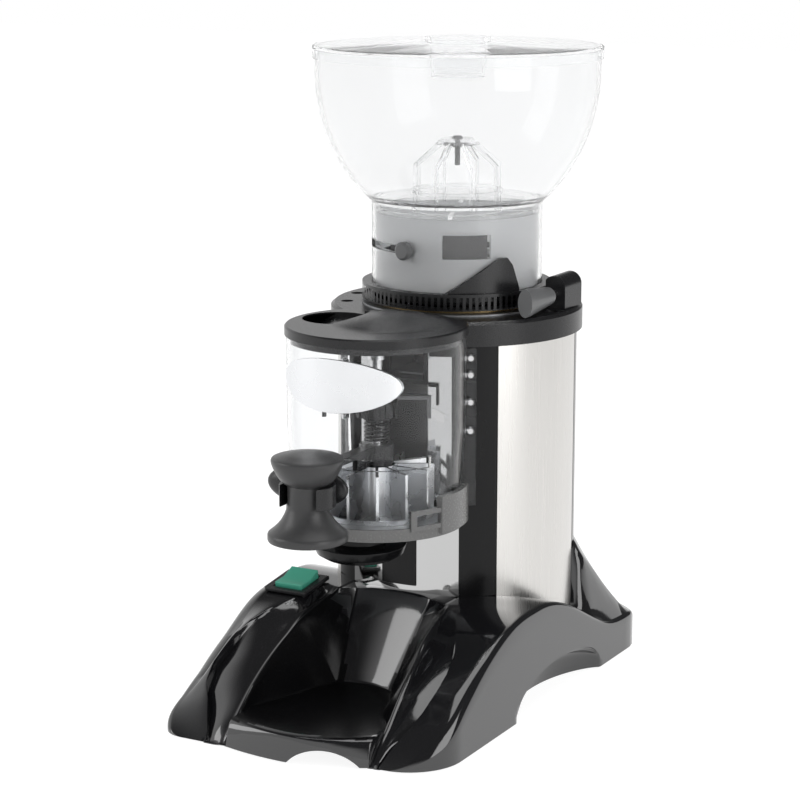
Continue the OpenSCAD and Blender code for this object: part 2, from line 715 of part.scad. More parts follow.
cap_z = casting_foot_z + cap_r;
module capacitor() color([0.75, 0.76, 0.78]) translate([-cap_l / 2, col_y, cap_z]) rotate([0, 90, 0]) {
    cylinder(h = cap_l, r = cap_r);
    translate([0, 0, cap_l - eps]) cylinder(h = 4, r = cap_r - 3);
}

// ---------------------------------------------------------------- grinding head

chamber_z0 = casting_top;
chamber_top = 255;
chamber_floor = 206;
module grinding_chamber() color(cast_grey) difference() {
    union() {
        translate([0, col_y, chamber_z0 + eps]) cylinder(h = 8, r = cover_spot_r + 3.4);
        translate([0, col_y, chamber_z0 + eps]) cylinder(h = chamber_top - chamber_z0, r = chamber_r);
        for (s = cover_spots) translate([s[0], col_y + s[1], chamber_z0 + 1])
            cylinder(h = col_top - chamber_z0 - 1, r = 3.8);
    }
    niche(niche_r + niche_wall + gap, chamber_z0);
    translate([0, col_y, chamber_floor]) cylinder(h = cut, r = burr_r + 3);
    translate([0, col_y, upper_burr_z - 2]) cylinder(h = cut, r = chamber_bore);
    translate([0, col_y, 0]) cylinder(h = cut, r = shaft_r + 1);
    translate([0, col_y, chamber_z0 - 1]) cylinder(h = chamber_floor - chamber_z0 - 3, r = chamber_r - 6);
    translate([-chute_w / 2 + 4, col_y - chamber_r - 20, chute_z0 + 4]) cube([chute_w - 8, chamber_r, chute_h - 8]);
    for (s = cover_spots) translate([s[0], col_y + s[1], col_top - 14]) cylinder(h = 20, r = screw_r + fit);
}

chute_reach = 79;           // how far the chute reaches in front of the column's axis
module outlet_chute() color(plastic) translate([0, col_y - chute_reach, chute_z0]) difference() {
    translate([-chute_w / 2, 0, 0]) cube([chute_w, chute_reach - chamber_r + 1, chute_h]);
    translate([-chute_w / 2 + 3, -1, 3]) cube([chute_w - 6, cut, chute_h - 6]);
    translate([0, chute_reach, -1]) cylinder(h = cut, r = chamber_r + 0.05);
}

module lower_carrier() color(cast_grey) translate([0, col_y, carrier_z]) difference() {
    union() {
        cylinder(h = carrier_t, r = burr_r);
        for (a = [0:120:240]) rotate([0, 0, a]) translate([burr_r - 2, -3, 0]) cube([4, 6, 5]);
    }
    translate([0, 0, -1]) cylinder(h = cut, r = shaft_r);
    for (a = [30:120:270]) rotate([0, 0, a])
        translate([(burr_r + burr_bore) / 2, 0, -1]) cylinder(h = cut, r = 1.5);
}

// Ring burr with cutting grooves on the face at the side dir
groove_count = 24;
module burr(z, dir) color([0.7, 0.69, 0.66]) translate([0, col_y, z]) difference() {
    cylinder(h = burr_t, r = burr_r);
    translate([0, 0, -1]) cylinder(h = cut, r = burr_bore);
    for (k = [0:groove_count - 1]) rotate([0, 0, 360 * k / groove_count])
        translate([burr_bore - 1, 0, dir > 0 ? burr_t - 1.2 : -eps]) rotate([0, 0, 24]) cube([burr_r, 1.6, 1.2 + eps]);
    for (a = [30:120:270]) rotate([0, 0, a]) translate([(burr_r + burr_bore) / 2, 0, -1]) {
        cylinder(h = cut, r = 1.5);
        translate([0, 0, dir > 0 ? burr_t - 2 : 0]) cylinder(h = 3, r = 3);
    }
}
module lower_burr() burr(lower_burr_z, 1);
module upper_burr() burr(upper_burr_z, -1);

carrier_top = 259;
bean_hole_r = 26;
module upper_carrier() color([0.72, 0.6, 0.35]) translate([0, col_y, upper_burr_z + burr_t + eps]) {
    h = carrier_top - upper_burr_z - burr_t;
    difference() {
        union() {
            cylinder(h = 8, r = chamber_bore - fit - 1.5);
            translate([0, 0, 2]) cylinder(h = h - 2, r = chamber_bore - fit);
        }
        translate([0, 0, -1]) cylinder(h = 9, r = burr_bore);
        translate([0, 0, 6]) cylinder(h = h, r1 = burr_bore, r2 = chamber_bore - 8);
        for (a = [30:120:270]) rotate([0, 0, a])
            translate([(burr_r + burr_bore) / 2, 0, -1]) cylinder(h = 20, r = 1.5);
    }
}

burr_screw_r = 1.5;
module burr_screw_set() for (a = [30:120:270]) translate([0, col_y, 0]) rotate([0, 0, a])
    translate([(burr_r + burr_bore) / 2, 0, 0]) children();
module lower_burr_screws() color(steel) burr_screw_set() {
    translate([0, 0, carrier_z + 1]) cylinder(h = carrier_t + burr_t - 3, r = burr_screw_r);
    translate([0, 0, lower_burr_z + burr_t - 2 + eps]) cylinder(h = 0.7, r = 2.6);
}
module upper_burr_screws() color(steel) burr_screw_set() {
    translate([0, 0, upper_burr_z + 2]) cylinder(h = burr_t + 3, r = burr_screw_r);
    translate([0, 0, upper_burr_z + 1.3 - eps]) cylinder(h = 0.7, r = 2.6);
}

ring_z = 257.5;
neck_socket_z = ring_z + 5;
ring_core_r = ring_r - tooth_depth;
tooth_w = PI * ring_core_r / ring_teeth;
ear_a0 = 18.5;
ear_a1 = 70;
ear_t = 3.2;
module ear() intersection() {
    sector(neck_r + seat + fit, neck_r + seat + ear_t, ring_z + 1, ear_top, ear_a0, ear_a1);
    // Sloping ramp that rises round the neck towards the ear's peak
    translate([0, col_y, 0]) rotate([0, 0, -90 + (ear_a0 + ear_a1) / 2]) rotate([90, 0, 90])
        linear_extrude(neck_r + 20)
            polygon([[-27, ring_z], [27, ring_z], [27, ring_z + ring_h], [21, ear_top - 5], [17, ear_top],
                [11, ear_top], [-24, ring_z + ring_h]]);
}
module adjusting_ring() color(plastic) {
    difference() {
        union() {
            translate([0, col_y, ring_z]) cylinder(h = ring_h, r = ring_core_r);
            for (k = [0:ring_teeth - 1]) translate([0, col_y, ring_z + 1]) rotate([0, 0, 360 * k / ring_teeth])
                translate([ring_core_r - 1, -tooth_w / 2, 0]) cube([tooth_depth + 1, tooth_w, ring_h - 3]);
        }
        translate([0, col_y, ring_z - 1]) cylinder(h = cut, r = chamber_bore - 7);
        translate([0, col_y, neck_socket_z]) cylinder(h = cut, r = neck_r + seat);
        translate([0, col_y, ring_z - 1]) cylinder(h = carrier_top - ring_z + 1 + eps, r = chamber_bore);
    }
    ear();
    translate([0, 2 * col_y, 0]) rotate([0, 0, 180]) ear();
}

// Worm adjuster at the right of the ring, its axis along Y
worm_x = ring_r + worm_r + 0.6;
worm_z = ring_z + ring_h / 2 + 1;
bracket_y0 = col_y + 2;
bracket_l = 26;
bracket_foot_x = worm_x - 8;
module worm_bracket() color(plastic) difference() {
    union() {
        translate([bracket_foot_x, bracket_y0, cover_z1 + eps]) cube([16, bracket_l, worm_z - cover_z1]);
        translate([bracket_foot_x + 8, bracket_y0, worm_z + 4]) rotate([-90, 0, 0]) cylinder(h = bracket_l, r = 8);
        translate([bracket_foot_x, bracket_y0, worm_z]) cube([16, bracket_l, 4]);
    }
    translate([0, col_y, ring_z - gap - 1]) cylinder(h = ear_top, r = ring_r + gap);
    // Room for the worm between the bracket's two cheeks
    translate([worm_x, bracket_y0 + 6, worm_z]) rotate([-90, 0, 0]) cylinder(h = bracket_l - 12, r = worm_r + gap);
    translate([worm_x, bracket_y0 - 1, worm_z]) rotate([-90, 0, 0]) cylinder(h = bracket_l + 2, r = worm_shaft_r + fit);
    translate([0, col_y, ring_z - gap - 1]) cylinder(h = ear_top, r = neck_r + ear_t + 3);
}
worm_shaft_r = 2.5;
knob_y = col_y - 8;         // rear end of the worm's knob
knob_bore = 10;
module worm_shaft() color(steel) {
    translate([worm_x, knob_y - knob_bore, worm_z]) rotate([-90, 0, 0])
        cylinder(h = bracket_y0 + bracket_l - knob_y + knob_bore, r = worm_shaft_r);
    for (k = [0:3]) translate([worm_x, bracket_y0 + 7 + 3 * k, worm_z]) rotate([-90, 0, 0])
        cylinder(h = 1.6, r = worm_r);
}

knob_l = 34;
module worm_knob() color(plastic) translate([worm_x, knob_y, worm_z]) difference() {
    hull() {
        rotate([90, 0, 0]) cylinder(h = 2, r = worm_r, $fn = 32);
        translate([0, -knob_l + 5, 0]) scale([0.55, 1, 1]) rotate([90, 0, 0]) cylinder(h = 5, r = 9.3, $fn = 32);
    }
    rotate([90, 0, 0]) translate([0, 0, -1]) cylinder(h = knob_bore + 1, r = worm_shaft_r);
}

// ---------------------------------------------------------------- hopper

bowl_c = rim_z - 13;        // height where the bowl is widest
bowl_b = (bowl_c - bowl_z) / sqrt(1 - pow((neck_r + 0.6) / bowl_r, 2));
function bowl_pts(i, z0) = concat(
    [for (k = [0:24]) let (z = z0 + (bowl_c - z0) * k / 24) [bowl_r * sqrt(1 - pow((bowl_c - z) / bowl_b, 2)) - i, z]],
    [[bowl_r - i, rim_z]]);
neck_in = neck_r - clear_t;
stem_r = 2.2;               // radius of the shutter knob's stem
shutter_z = 295;
knob_a = -8;                // angle of the shutter knob from the front
module arc_slot(z, r, a0, a1) {
    sector(neck_in - 12, neck_r + 1, z - r, z + r, a0, a1);
}
module hopper_bowl() color(clear) difference() {
    union() {
        translate([0, col_y, 0]) rotate_extrude(convexity = 6)
            polygon(concat([[0, neck_socket_z + eps], [neck_r, neck_socket_z + eps], [neck_r, bowl_z - 1]],
                bowl_pts(0, bowl_z), [[0, rim_z]]));
    }
    translate([0, col_y, 0]) rotate_extrude(convexity = 6)
        polygon(concat([[0, neck_socket_z - 1], [neck_in, neck_socket_z - 1], [neck_in, bowl_z + 2]],
            bowl_pts(clear_t, bowl_z + 3), [[bowl_r - clear_t, rim_z + 1], [0, rim_z + 1]]));
    arc_slot(shutter_z, stem_r + gap, knob_a - shutter_travel - 3, knob_a + 3);
}

liner_r = neck_in - seat;
liner_t = 2.2;
liner_top = 316;
liner_floor = 282;
port_r0 = 12;
port_r1 = 46;
port_a = 38;                // angle that one port spans
module ports(z0, z1) for (k = [0:90:270]) translate([0, col_y, z0]) rotate([0, 0, k - port_a / 2])
    rotate_extrude(angle = port_a) translate([port_r0, 0]) square([port_r1 - port_r0, z1 - z0]);
module hopper_liner() color([0.75, 0.76, 0.78]) difference() {
    translate([0, col_y, neck_socket_z + eps]) cylinder(h = liner_top - neck_socket_z, r = liner_r);
    translate([0, col_y, neck_socket_z - 1]) cylinder(h = liner_floor - neck_socket_z + 1, r = liner_r - liner_t);
    translate([0, col_y, liner_floor + 2]) cylinder(h = cut, r = liner_r - liner_t);
    ports(liner_floor - 1, liner_floor + 3);
    translate([0, col_y, 0]) cylinder(h = cut, r = pivot_r + fit);
    arc_slot(shutter_z, stem_r + gap, knob_a - shutter_travel - 3, knob_a + 3);
    // Window that shows the beans over the shutter
    sector(liner_r - liner_t - 1, liner_r + 1, 290, 306, 17, 51);
}
pivot_r = 3;
cup_r = liner_r - liner_t - gap;
module hopper_shutter() color([0.6, 0.61, 0.63]) difference() {
    union() {
        translate([0, col_y, liner_floor + 2 + gap]) cylinder(h = 2, r = cup_r);
        translate([0, col_y, liner_floor + 2 + gap]) difference() {
            cylinder(h = shutter_z + 5 - liner_floor - 2 - gap, r = cup_r);
            translate([0, 0, -1]) cylinder(h = cut, r = cup_r - 2.2);
            sector_cut(14, 330);
        }
        translate([0, col_y, liner_floor - 3]) cylinder(h = 8, r = pivot_r);
        translate([0, col_y, shutter_z]) rotate([0, 0, -90 + knob_a]) rotate([0, 90, 0])
            translate([0, 0, cup_r - 2]) cylinder(h = neck_r + 2 - cup_r + 2, r = stem_r);
    }
    ports(liner_floor, liner_floor + 6);
}
// Opens the shutter's upstand between two angles, so that only the part behind the knob stays
module sector_cut(a0, a1) translate([0, 0, 3]) rotate([0, 0, -90 + a0])
    rotate_extrude(angle = a1 - a0) translate([cup_r - 4, 0]) square([6, cut]);

module shutter_knob() color([0.3, 0.31, 0.32]) translate([0, col_y, shutter_z]) rotate([0, 0, -90 + knob_a])
    rotate([0, 90, 0]) translate([0, 0, neck_r + gap]) difference() {
        union() {
            cylinder(h = 4, r = shutter_knob_r);
            translate([0, 0, 4 - eps]) cylinder(h = 1.2, r1 = shutter_knob_r, r2 = shutter_knob_r - 1.4);
        }
        translate([0, 0, -1]) cylinder(h = 2 - gap + 1, r = stem_r);
    }

guard_base_z = liner_top + eps;
guard_bar = 1.6;
module bean_guard() color(clear) translate([0, col_y, 0]) difference() {
    union() {
        for (z = [guard_base_z, guard_base_z + 12]) translate([0, 0, z]) difference() {
            cylinder(h = 2.4, r = guard_r + 1);
            translate([0, 0, -1]) cylinder(h = 5, r = guard_r - 1.2);
        }
        translate([0, 0, guard_base_z]) difference() {
            cylinder(h = 2.4, r = liner_r);
            translate([0, 0, -1]) cylinder(h = 5, r = liner_r - 3);
        }
        for (a = [22.5:90:292.5]) rotate([0, 0, a])
            translate([guard_r, -1.5, guard_base_z]) cube([liner_r - guard_r - 1, 3, 2.4]);
        translate([0, 0, guard_top - 4]) cylinder(h = 4, r1 = 15, r2 = 11);
        for (k = [0:guard_bars - 1]) rotate([90, 0, 360 * k / guard_bars])
            linear_extrude(guard_bar, center = true)
                polygon([[guard_r - 1.2, guard_base_z], [guard_r + 1, guard_base_z], [guard_r + 1, guard_z1],
                    [13, guard_top - 2], [10, guard_top - 4], [guard_r - 1.6, guard_z1 - 1]]);
    }
    cylinder(h = cut * 2, r = post_r + seat);
}
guard_z1 = guard_top - 17;
post_r = 1.8;
module guard_post() color([0.25, 0.25, 0.26]) translate([0, col_y, 0]) {
    translate([0, 0, guard_top - 18]) cylinder(h = 18 + eps, r = post_r);
    translate([0, 0, guard_top + eps]) cylinder(h = 1.6, r1 = 4, r2 = 2.5);
    translate([0, 0, guard_top - 6]) cylinder(h = 2 - eps, r = 3.4);
}

lid_r = bowl_r + 1.5;
lid_lip = 6;
lid_dome = 5;
flange_h = 2;
lid_z = rim_z + gap;
cup_top = lid_z + lid_t + lid_dome;
module hopper_lid() color(clear) translate([0, col_y, 0]) rotate_extrude(convexity = 6) {
    cup_in = cup_flange_r - 3.5;
    polygon([[bowl_r + 0.3, lid_z - lid_lip], [lid_r, lid_z - lid_lip], [lid_r, lid_z + lid_t - 0.8],
        [lid_r - 1, lid_z + lid_t], [cup_in + lid_t + 1, cup_top - flange_h], [cup_flange_r, cup_top - flange_h],
        [cup_flange_r, cup_top], [cup_in, cup_top], [cup_in - 2.5, cup_top - cup_depth],
        [0, cup_top - cup_depth], [0, cup_top - cup_depth - lid_t], [cup_in - 1, cup_top - cup_depth - lid_t],
        [cup_in + lid_t - 0.5, cup_top - flange_h - lid_t - 1], [bowl_r - clear_t - 1, lid_z],
        [bowl_r + 0.3, lid_z]]);
}

// ---------------------------------------------------------------- doser

rear_clip_r = col_r + trim_t + 0.2;
bracket_t = 2.4;
flange_a0 = front_half_a + 0.8;
flange_a1 = flange_a0 + 6.5;
strip_top = col_top - gap;
bracket_half_a = flange_a0 - 0.4;
bracket_bar_a = 3.6;        // angle that the bracket's side bar spans
module doser_plan(r, z0, z1) difference() {
    translate([0, doser_y, z0]) cylinder(h = z1 - z0, r = r);
    translate([0, col_y, z0 - 1]) cylinder(h = z1 - z0 + 2, r = rear_clip_r + bracket_t);
}
module doser_bracket() color(plastic) difference() {
    sector(rear_clip_r, rear_clip_r + bracket_t - fit, doser_z0, strip_top, -bracket_half_a, bracket_half_a);
    niche();
    for (a = [bracket_bar_a - bracket_half_a, trim_half_a + 1])
        sector(rear_clip_r - 1, rear_clip_r + 8, doser_z0 + 8, strip_top - 6, a, a + bracket_half_a - bracket_bar_a - trim_half_a - 1);
    chute_window();
}

floor_t = 5;
floor_top = doser_z0 + floor_t;
module doser_floor() color(cast_grey) difference() {
    doser_plan(doser_low_r, doser_z0, floor_top);
    translate([0, outlet_y, 0]) cylinder(h = cut, r = outlet_r);
    translate([0, doser_y, 0]) cylinder(h = cut, r = star_shaft_r + fit);
}

lever_z = 176;
lever_slot_h = 7;
module doser_body() color(clear) {
    difference() {
        translate([0, doser_y, 0]) rotate_extrude(convexity = 4)
            polygon([[0, floor_top + eps], [doser_low_r, floor_top + eps], [doser_low_r, floor_top + 22],
                [doser_r, floor_top + 60], [doser_r, doser_z1], [0, doser_z1]]);
        translate([0, doser_y, 0]) rotate_extrude(convexity = 4)
            polygon([[0, floor_top - 1], [doser_low_r - clear_t, floor_top - 1],
                [doser_low_r - clear_t, floor_top + 22], [doser_r - clear_t, floor_top + 60],
                [doser_r - clear_t, doser_z1 + 1], [0, doser_z1 + 1]]);
        translate([0, col_y, 0]) cylinder(h = cut, r = rear_clip_r + bracket_t);
        translate([0, col_y, strip_top]) cylinder(h = cut, r = cover_r + gap);
        // Slot that the lever swings through
        translate([0, doser_y, lever_z - lever_slot_h / 2]) rotate([0, 0, -90 - 6])
            rotate_extrude(angle = lever_stroke + 12) translate([doser_low_r - 8, 0]) square([20, lever_slot_h]);
    }
    for (a = [flange_a0, -flange_a1]) difference() {
        sector(col_r + 0.1, rear_clip_r + bracket_t + flange_step, floor_top + 1, strip_top - 0.5, a, a + flange_a1 - flange_a0);
        for (z = screw_zs) for (s = [-1, 1]) screw_place(s, z) cylinder(h = 3 * screw_len, r = screw_hole_r, center = true);
    }
}
screw_zs = [183, 202, 220, 231];
screw_hole_r = 1.6;
screw_len = 6.5;
screw_a = (flange_a0 + flange_a1) / 2 + 0.6;
flange_step = 0.6;          // how far the flanges stand proud of the bracket
module screw_place(s, z) translate([0, col_y, z]) rotate([0, 0, -90 + s * screw_a]) rotate([0, 90, 0])
    translate([0, 0, rear_clip_r + bracket_t + flange_step]) children();
module doser_screws() color(steel) for (z = screw_zs) for (s = [-1, 1]) screw_place(s, z) {
    translate([0, 0, eps]) cylinder(h = 1.6, r1 = 2.8, r2 = 1.8);
    translate([0, 0, -screw_len]) cylinder(h = screw_len + 2 * eps, r = screw_hole_r - fit);
}

band_t = 1.6;
band_top = doser_z0 + 26;
module doser_band() color([0.5, 0.5, 0.5]) difference() {
    union() {
        doser_plan(doser_low_r + 0.05 + band_t, doser_z0, doser_z0 + 8);
        intersection() {
            doser_plan(doser_low_r + 0.05 + 2.5 * band_t, doser_z0 + 2, band_top);
            union() for (s = [-1, 1]) translate([0, doser_y, 0]) rotate([0, 0, -90 + s * 92])
                translate([0, -19, 0]) cube([doser_r + 10, 38, cut]);
        }
        // Window frame in front of each clasp
        for (s = [-1, 1]) translate([0, doser_y, 0]) rotate([0, 0, -90]) intersection() {
            doser_ring_sector(doser_low_r, doser_low_r + 0.05 + 2 * band_t, doser_z0 + 6, doser_z0 + 19, s * 64, 13);
        }
    }
    translate([0, doser_y, 0]) cylinder(h = cut, r = doser_low_r + 0.05);
    for (s = [-1, 1]) translate([0, doser_y, 0]) rotate([0, 0, -90])
        doser_ring_sector(doser_low_r - 2, doser_low_r + 9, doser_z0 + 9, doser_z0 + 16, s * 64, 9);
    translate([0, col_y, 0]) cylinder(h = cut, r = rear_clip_r + bracket_t + 1);
}
module doser_ring_sector(r0, r1, z0, z1, mid, half) rotate([0, 0, mid - half])
    rotate_extrude(angle = 2 * half) translate([r0, z0]) square([r1 - r0, z1 - z0]);

hollow_x = 32;              // sideways place of the hollow in the doser's lid
hollow_r = 22;
hollow_floor = 3;
hump_r = 150;
module doser_lid() color(plastic) difference() {
    union() {
        translate([0, doser_y, doser_z1 + gap]) cylinder(h = dlid_h - gap - 1, r = doser_r + 1);
        translate([0, doser_y, doser_z1 + dlid_h - 1 - eps]) cylinder(h = 1, r1 = doser_r + 1, r2 = doser_r);
        // Raised hump over the right and rear of the lid
        intersection() {
            translate([0, doser_y, doser_z1]) cylinder(h = cut, r = doser_r - 6);
            translate([8, doser_y + 10, doser_z1 + dlid_h + dlid_hump - hump_r]) sphere(r = hump_r);
            translate([-hollow_r, doser_y - 40, doser_z1]) cube(cut);
        }
        translate([0, doser_y, doser_z1 - 4]) difference() {
            cylinder(h = 5, r = doser_r - clear_t - gap);
            translate([0, 0, -1]) cylinder(h = 8, r = doser_r - clear_t - gap - 2);
        }
    }
    translate([0, col_y, 0]) cylinder(h = cut, r = cover_r + gap);
    // Hollow at the left front, beside the hump
    translate([-hollow_x, doser_y + 4, doser_z1 + hollow_floor]) cylinder(h = cut, r = hollow_r);
}

badge_z = 226;
badge_w = 84;
badge_h = 34;
module badge() color([0.93, 0.94, 0.95]) intersection() {
    translate([0, doser_y, 0]) difference() {
        cylinder(h = cut, r = doser_r + 2);
        translate([0, 0, -1]) cylinder(h = cut + 2, r = doser_r + 0.05);
    }
    translate([0, doser_y, badge_z]) rotate([90, 0, 0])
        linear_extrude(cut) polygon([for (a = [0:10:350]) [badge_w / 2 * cos(a), badge_h / 2 * sin(a)]]);
}

module outlet_dish() color(plastic) translate([0, outlet_y, dish_z]) rotate_extrude(convexity = 4)
    polygon([[outlet_r, 0], [dish_r - 8, 0], [dish_r - 2, 5], [dish_r, 13], [dish_r - 2, 13.5],
        [outlet_r + 4, 15], [outlet_r + 4, doser_z0 - dish_z - eps], [outlet_r, doser_z0 - dish_z - eps]]);

star_z = floor_top + gap;
rim_h = 3;                  // height of the ring round the star wheel's foot
rim_t = 1.6;
module star_wheel() color([0.8, 0.79, 0.77]) translate([0, doser_y, star_z]) difference() {
    union() {
        cylinder(h = star_h, r = 12);
        for (k = [0:star_vanes - 1]) rotate([0, 0, 360 * k / star_vanes])
            translate([8, -0.9, 0]) cube([star_r - 8, 1.8, star_h]);
        difference() {
            cylinder(h = rim_h, r = star_r);
            translate([0, 0, -1]) cylinder(h = rim_h + 2, r = star_r - rim_t);
        }
    }
    translate([0, 0, -1]) cylinder(h = cut, r = star_shaft_r + fit);
}

shaft_top = 236;
module star_shaft() color(steel) translate([0, doser_y, 0]) {
    translate([0, 0, doser_z0]) cylinder(h = shaft_top - doser_z0, r = star_shaft_r);
    translate([0, 0, shaft_top - 3]) cylinder(h = 3, r = star_shaft_r + 1.5);
}

hub_z = star_z + star_h + gap;
nut_z = 196;
module portion_nut() color(steel) translate([0, doser_y, nut_z]) difference() {
    union() {
        cylinder(h = 10, r = 13);
        for (a = [0:30:330]) rotate([0, 0, a]) translate([12, -1.5, 0]) cube([2.2, 3, 10]);
    }
    translate([0, 0, -1]) cylinder(h = cut, r = star_shaft_r + fit);
}

sweeper_z = 207;
module sweeper() color([0.35, 0.35, 0.36]) translate([0, doser_y, sweeper_z]) difference() {
    union() {
        cylinder(h = 8, r = 9);
        for (a = [25, 205]) rotate([0, 0, a]) translate([6, -2, 0]) cube([star_r - 8, 4, 2.5]);
        for (a = [25, 205]) rotate([0, 0, a]) translate([star_r - 4.5, -2, -12]) cube([2.5, 4, 14]);
    }
    translate([0, 0, -1]) cylinder(h = cut, r = star_shaft_r + fit);
}

// Coil spring between the lever's hub and the portion nut
spring_turns = 6;
spring_wire = 1;
spring_r = 7.5;
spring_sides = 6;
spring_steps = 16;
module return_spring() color(steel) {
    z0 = lever_z + 2 + spring_wire + seat;
    rise = nut_z - z0 - spring_wire - seat;
    n = spring_turns * spring_steps;
    translate([0, doser_y, z0]) loft([for (k = [0:n]) let (a = 360 * k / spring_steps)
        [for (j = [0:spring_sides - 1]) let (b = 360 * j / spring_sides, r = spring_r + spring_wire * cos(b))
            [r * cos(a), r * sin(a), rise * k / n + spring_wire * sin(b)]]]);
}

arm_w = 9;
pawl_w = 4;
clip_in = tamper_waist_r + 1;
clip_out = clip_in + 4;
tamper_z0 = 134;
shoulder_share = 0.66;      // height of the shoulder that hangs on the clip, as a share of the tamper
clip_z0 = 156;
clip_top = tamper_z0 + shoulder_share * tamper_h - 1;
clip_h = clip_top - clip_z0;
drop_t = 3.5;
drop_r = doser_r + 1.5;     // where the lever's drop stands off the doser's wall
module doser_lever() color([0.2, 0.2, 0.2]) {
    translate([0, doser_y, 0]) difference() {
        union() {
            translate([0, 0, hub_z]) cylinder(h = lever_z + 2 - hub_z, r = 11);
            translate([-arm_w / 2, -drop_r - drop_t, lever_z - 2]) cube([arm_w, drop_r + drop_t, 4]);
            // Pawl under the arm, over the star wheel
            translate([-pawl_w / 2, -28, hub_z]) cube([pawl_w, 12, lever_z - hub_z]);
            // Drop from the arm to the clip, outside the doser
            translate([-arm_w / 2, -drop_r - drop_t, clip_z0]) cube([arm_w, drop_t, lever_z + 2 - clip_z0]);
        }
        cylinder(h = cut, r = star_shaft_r + fit);
    }
    difference() {
        union() {
            translate([0, tamper_y, clip_z0]) cylinder(h = clip_h, r = clip_out);
            translate([-arm_w / 2, tamper_y + clip_in + 1, clip_z0])
                cube([arm_w, tamper_reach - drop_r - clip_in - 1.5, clip_h]);
        }
        translate([0, tamper_y, 0]) cylinder(h = cut, r = clip_in);
        translate([-clip_in + 0.6, tamper_y - 40, 0]) cube([2 * clip_in - 1.2, 40, cut]);
    }
}

module tamper() color([0.15, 0.15, 0.15]) translate([0, tamper_y, tamper_z0]) rotate_extrude() {
    h = tamper_h;
    w = tamper_waist_r;
    polygon(concat([[0, 0], [tamper_bell_r - 1.5, 0], [tamper_bell_r, 1.5], [tamper_bell_r, 5]],
        [for (k = [1:8]) let (t = k / 8) [w + (tamper_bell_r - w) * pow(1 - t, 1.3), 5 + (0.36 * h - 5) * t]],
        [[w, shoulder_share * h - 1], [w + 2, shoulder_share * h]],
        [for (k = [1:6]) let (t = k / 6)
            [w + 2 + (tamper_top_r - w - 2) * pow(t, 0.7), (shoulder_share + 0.2 * t) * h]],
        [[tamper_top_r, 0.92 * h], [tamper_top_r - 1.5, 0.95 * h], [tamper_top_r / 2, h - 0.8], [0, h]]));
}

base_shell();
base_plate();
feet();
base_screws();
cable_gland();
switch_frame();
switch_rocker();
body_casting();
column_front();
front_panel();
centre_trim();
left_steel_panel();
right_steel_panel();
column_rear();
top_cover();
cover_screws();
stator();
rotor();
motor_shaft();
shaft_bearings();
end_shield();
motor_flange();
motor_bolts();
cooling_fan();
capacitor();
grinding_chamber();
outlet_chute();
lower_carrier();
lower_burr();
upper_burr();
upper_carrier();
lower_burr_screws();
upper_burr_screws();
adjusting_ring();
worm_bracket();
worm_shaft();
worm_knob();
hopper_bowl();
hopper_liner();
hopper_shutter();
shutter_knob();
bean_guard();
guard_post();
hopper_lid();
doser_bracket();
doser_floor();
doser_body();
doser_band();
doser_screws();
doser_lid();
badge();
outlet_dish();
star_wheel();
star_shaft();
sweeper();
portion_nut();
return_spring();
doser_lever();
tamper();
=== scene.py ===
import json
import math
import bpy
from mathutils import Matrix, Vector

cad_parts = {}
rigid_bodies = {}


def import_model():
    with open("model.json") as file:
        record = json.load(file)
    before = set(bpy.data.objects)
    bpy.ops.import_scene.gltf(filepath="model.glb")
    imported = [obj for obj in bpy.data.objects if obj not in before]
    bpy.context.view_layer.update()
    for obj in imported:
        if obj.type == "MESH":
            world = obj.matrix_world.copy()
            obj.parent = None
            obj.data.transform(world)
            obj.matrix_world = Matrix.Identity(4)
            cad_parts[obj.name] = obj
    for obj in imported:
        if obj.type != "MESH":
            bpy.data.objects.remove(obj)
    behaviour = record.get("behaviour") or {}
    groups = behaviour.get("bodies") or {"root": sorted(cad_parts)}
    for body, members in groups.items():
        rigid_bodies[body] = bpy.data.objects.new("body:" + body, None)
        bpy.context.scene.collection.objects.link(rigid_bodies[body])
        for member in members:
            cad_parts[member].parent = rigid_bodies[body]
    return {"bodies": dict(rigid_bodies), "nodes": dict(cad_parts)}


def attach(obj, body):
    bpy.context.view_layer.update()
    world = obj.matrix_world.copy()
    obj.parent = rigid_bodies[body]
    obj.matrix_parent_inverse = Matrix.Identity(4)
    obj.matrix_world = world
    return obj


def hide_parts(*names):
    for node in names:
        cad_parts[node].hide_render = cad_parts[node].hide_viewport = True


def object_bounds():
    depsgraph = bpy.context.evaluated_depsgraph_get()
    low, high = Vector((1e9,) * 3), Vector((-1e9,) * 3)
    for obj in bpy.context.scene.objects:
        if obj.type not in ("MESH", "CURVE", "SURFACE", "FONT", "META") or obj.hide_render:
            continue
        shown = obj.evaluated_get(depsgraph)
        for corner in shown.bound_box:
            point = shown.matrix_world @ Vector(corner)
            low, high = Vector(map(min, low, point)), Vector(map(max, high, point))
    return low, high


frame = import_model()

# ---------------------------------------------------------------- studio
# Camera at the front right, a little above the grinder, a pale floor that
# keeps the shadow, and soft lamps at both sides and above.
cad_lowest, cad_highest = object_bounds()

bpy.ops.object.select_all(action="DESELECT")
bpy.ops.object.camera_add(
    location=(0.73825, -1.3571, 0.5313),
    rotation=(math.radians(77.79), 0, math.radians(28.84)))
camera = bpy.context.active_object
camera.name = "studio_camera"
camera.data.lens = 108
camera.data.sensor_width = 36
camera.data.clip_start = 0.05
camera.data.clip_end = 50
scene = bpy.context.scene
scene.camera = camera
scene.view_settings.view_transform = "Standard"


def softbox(name, place, aim, width, height, power):
    """An area lamp at place that faces the point aim."""
    bpy.ops.object.light_add(type="AREA", location=place)
    lamp = bpy.context.active_object
    lamp.name = name
    lamp.data.shape = "RECTANGLE"
    lamp.data.size = width
    lamp.data.size_y = height
    lamp.data.energy = power
    toward = Vector(aim) - Vector(place)
    lamp.rotation_euler = toward.to_track_quat("-Z", "Y").to_euler()


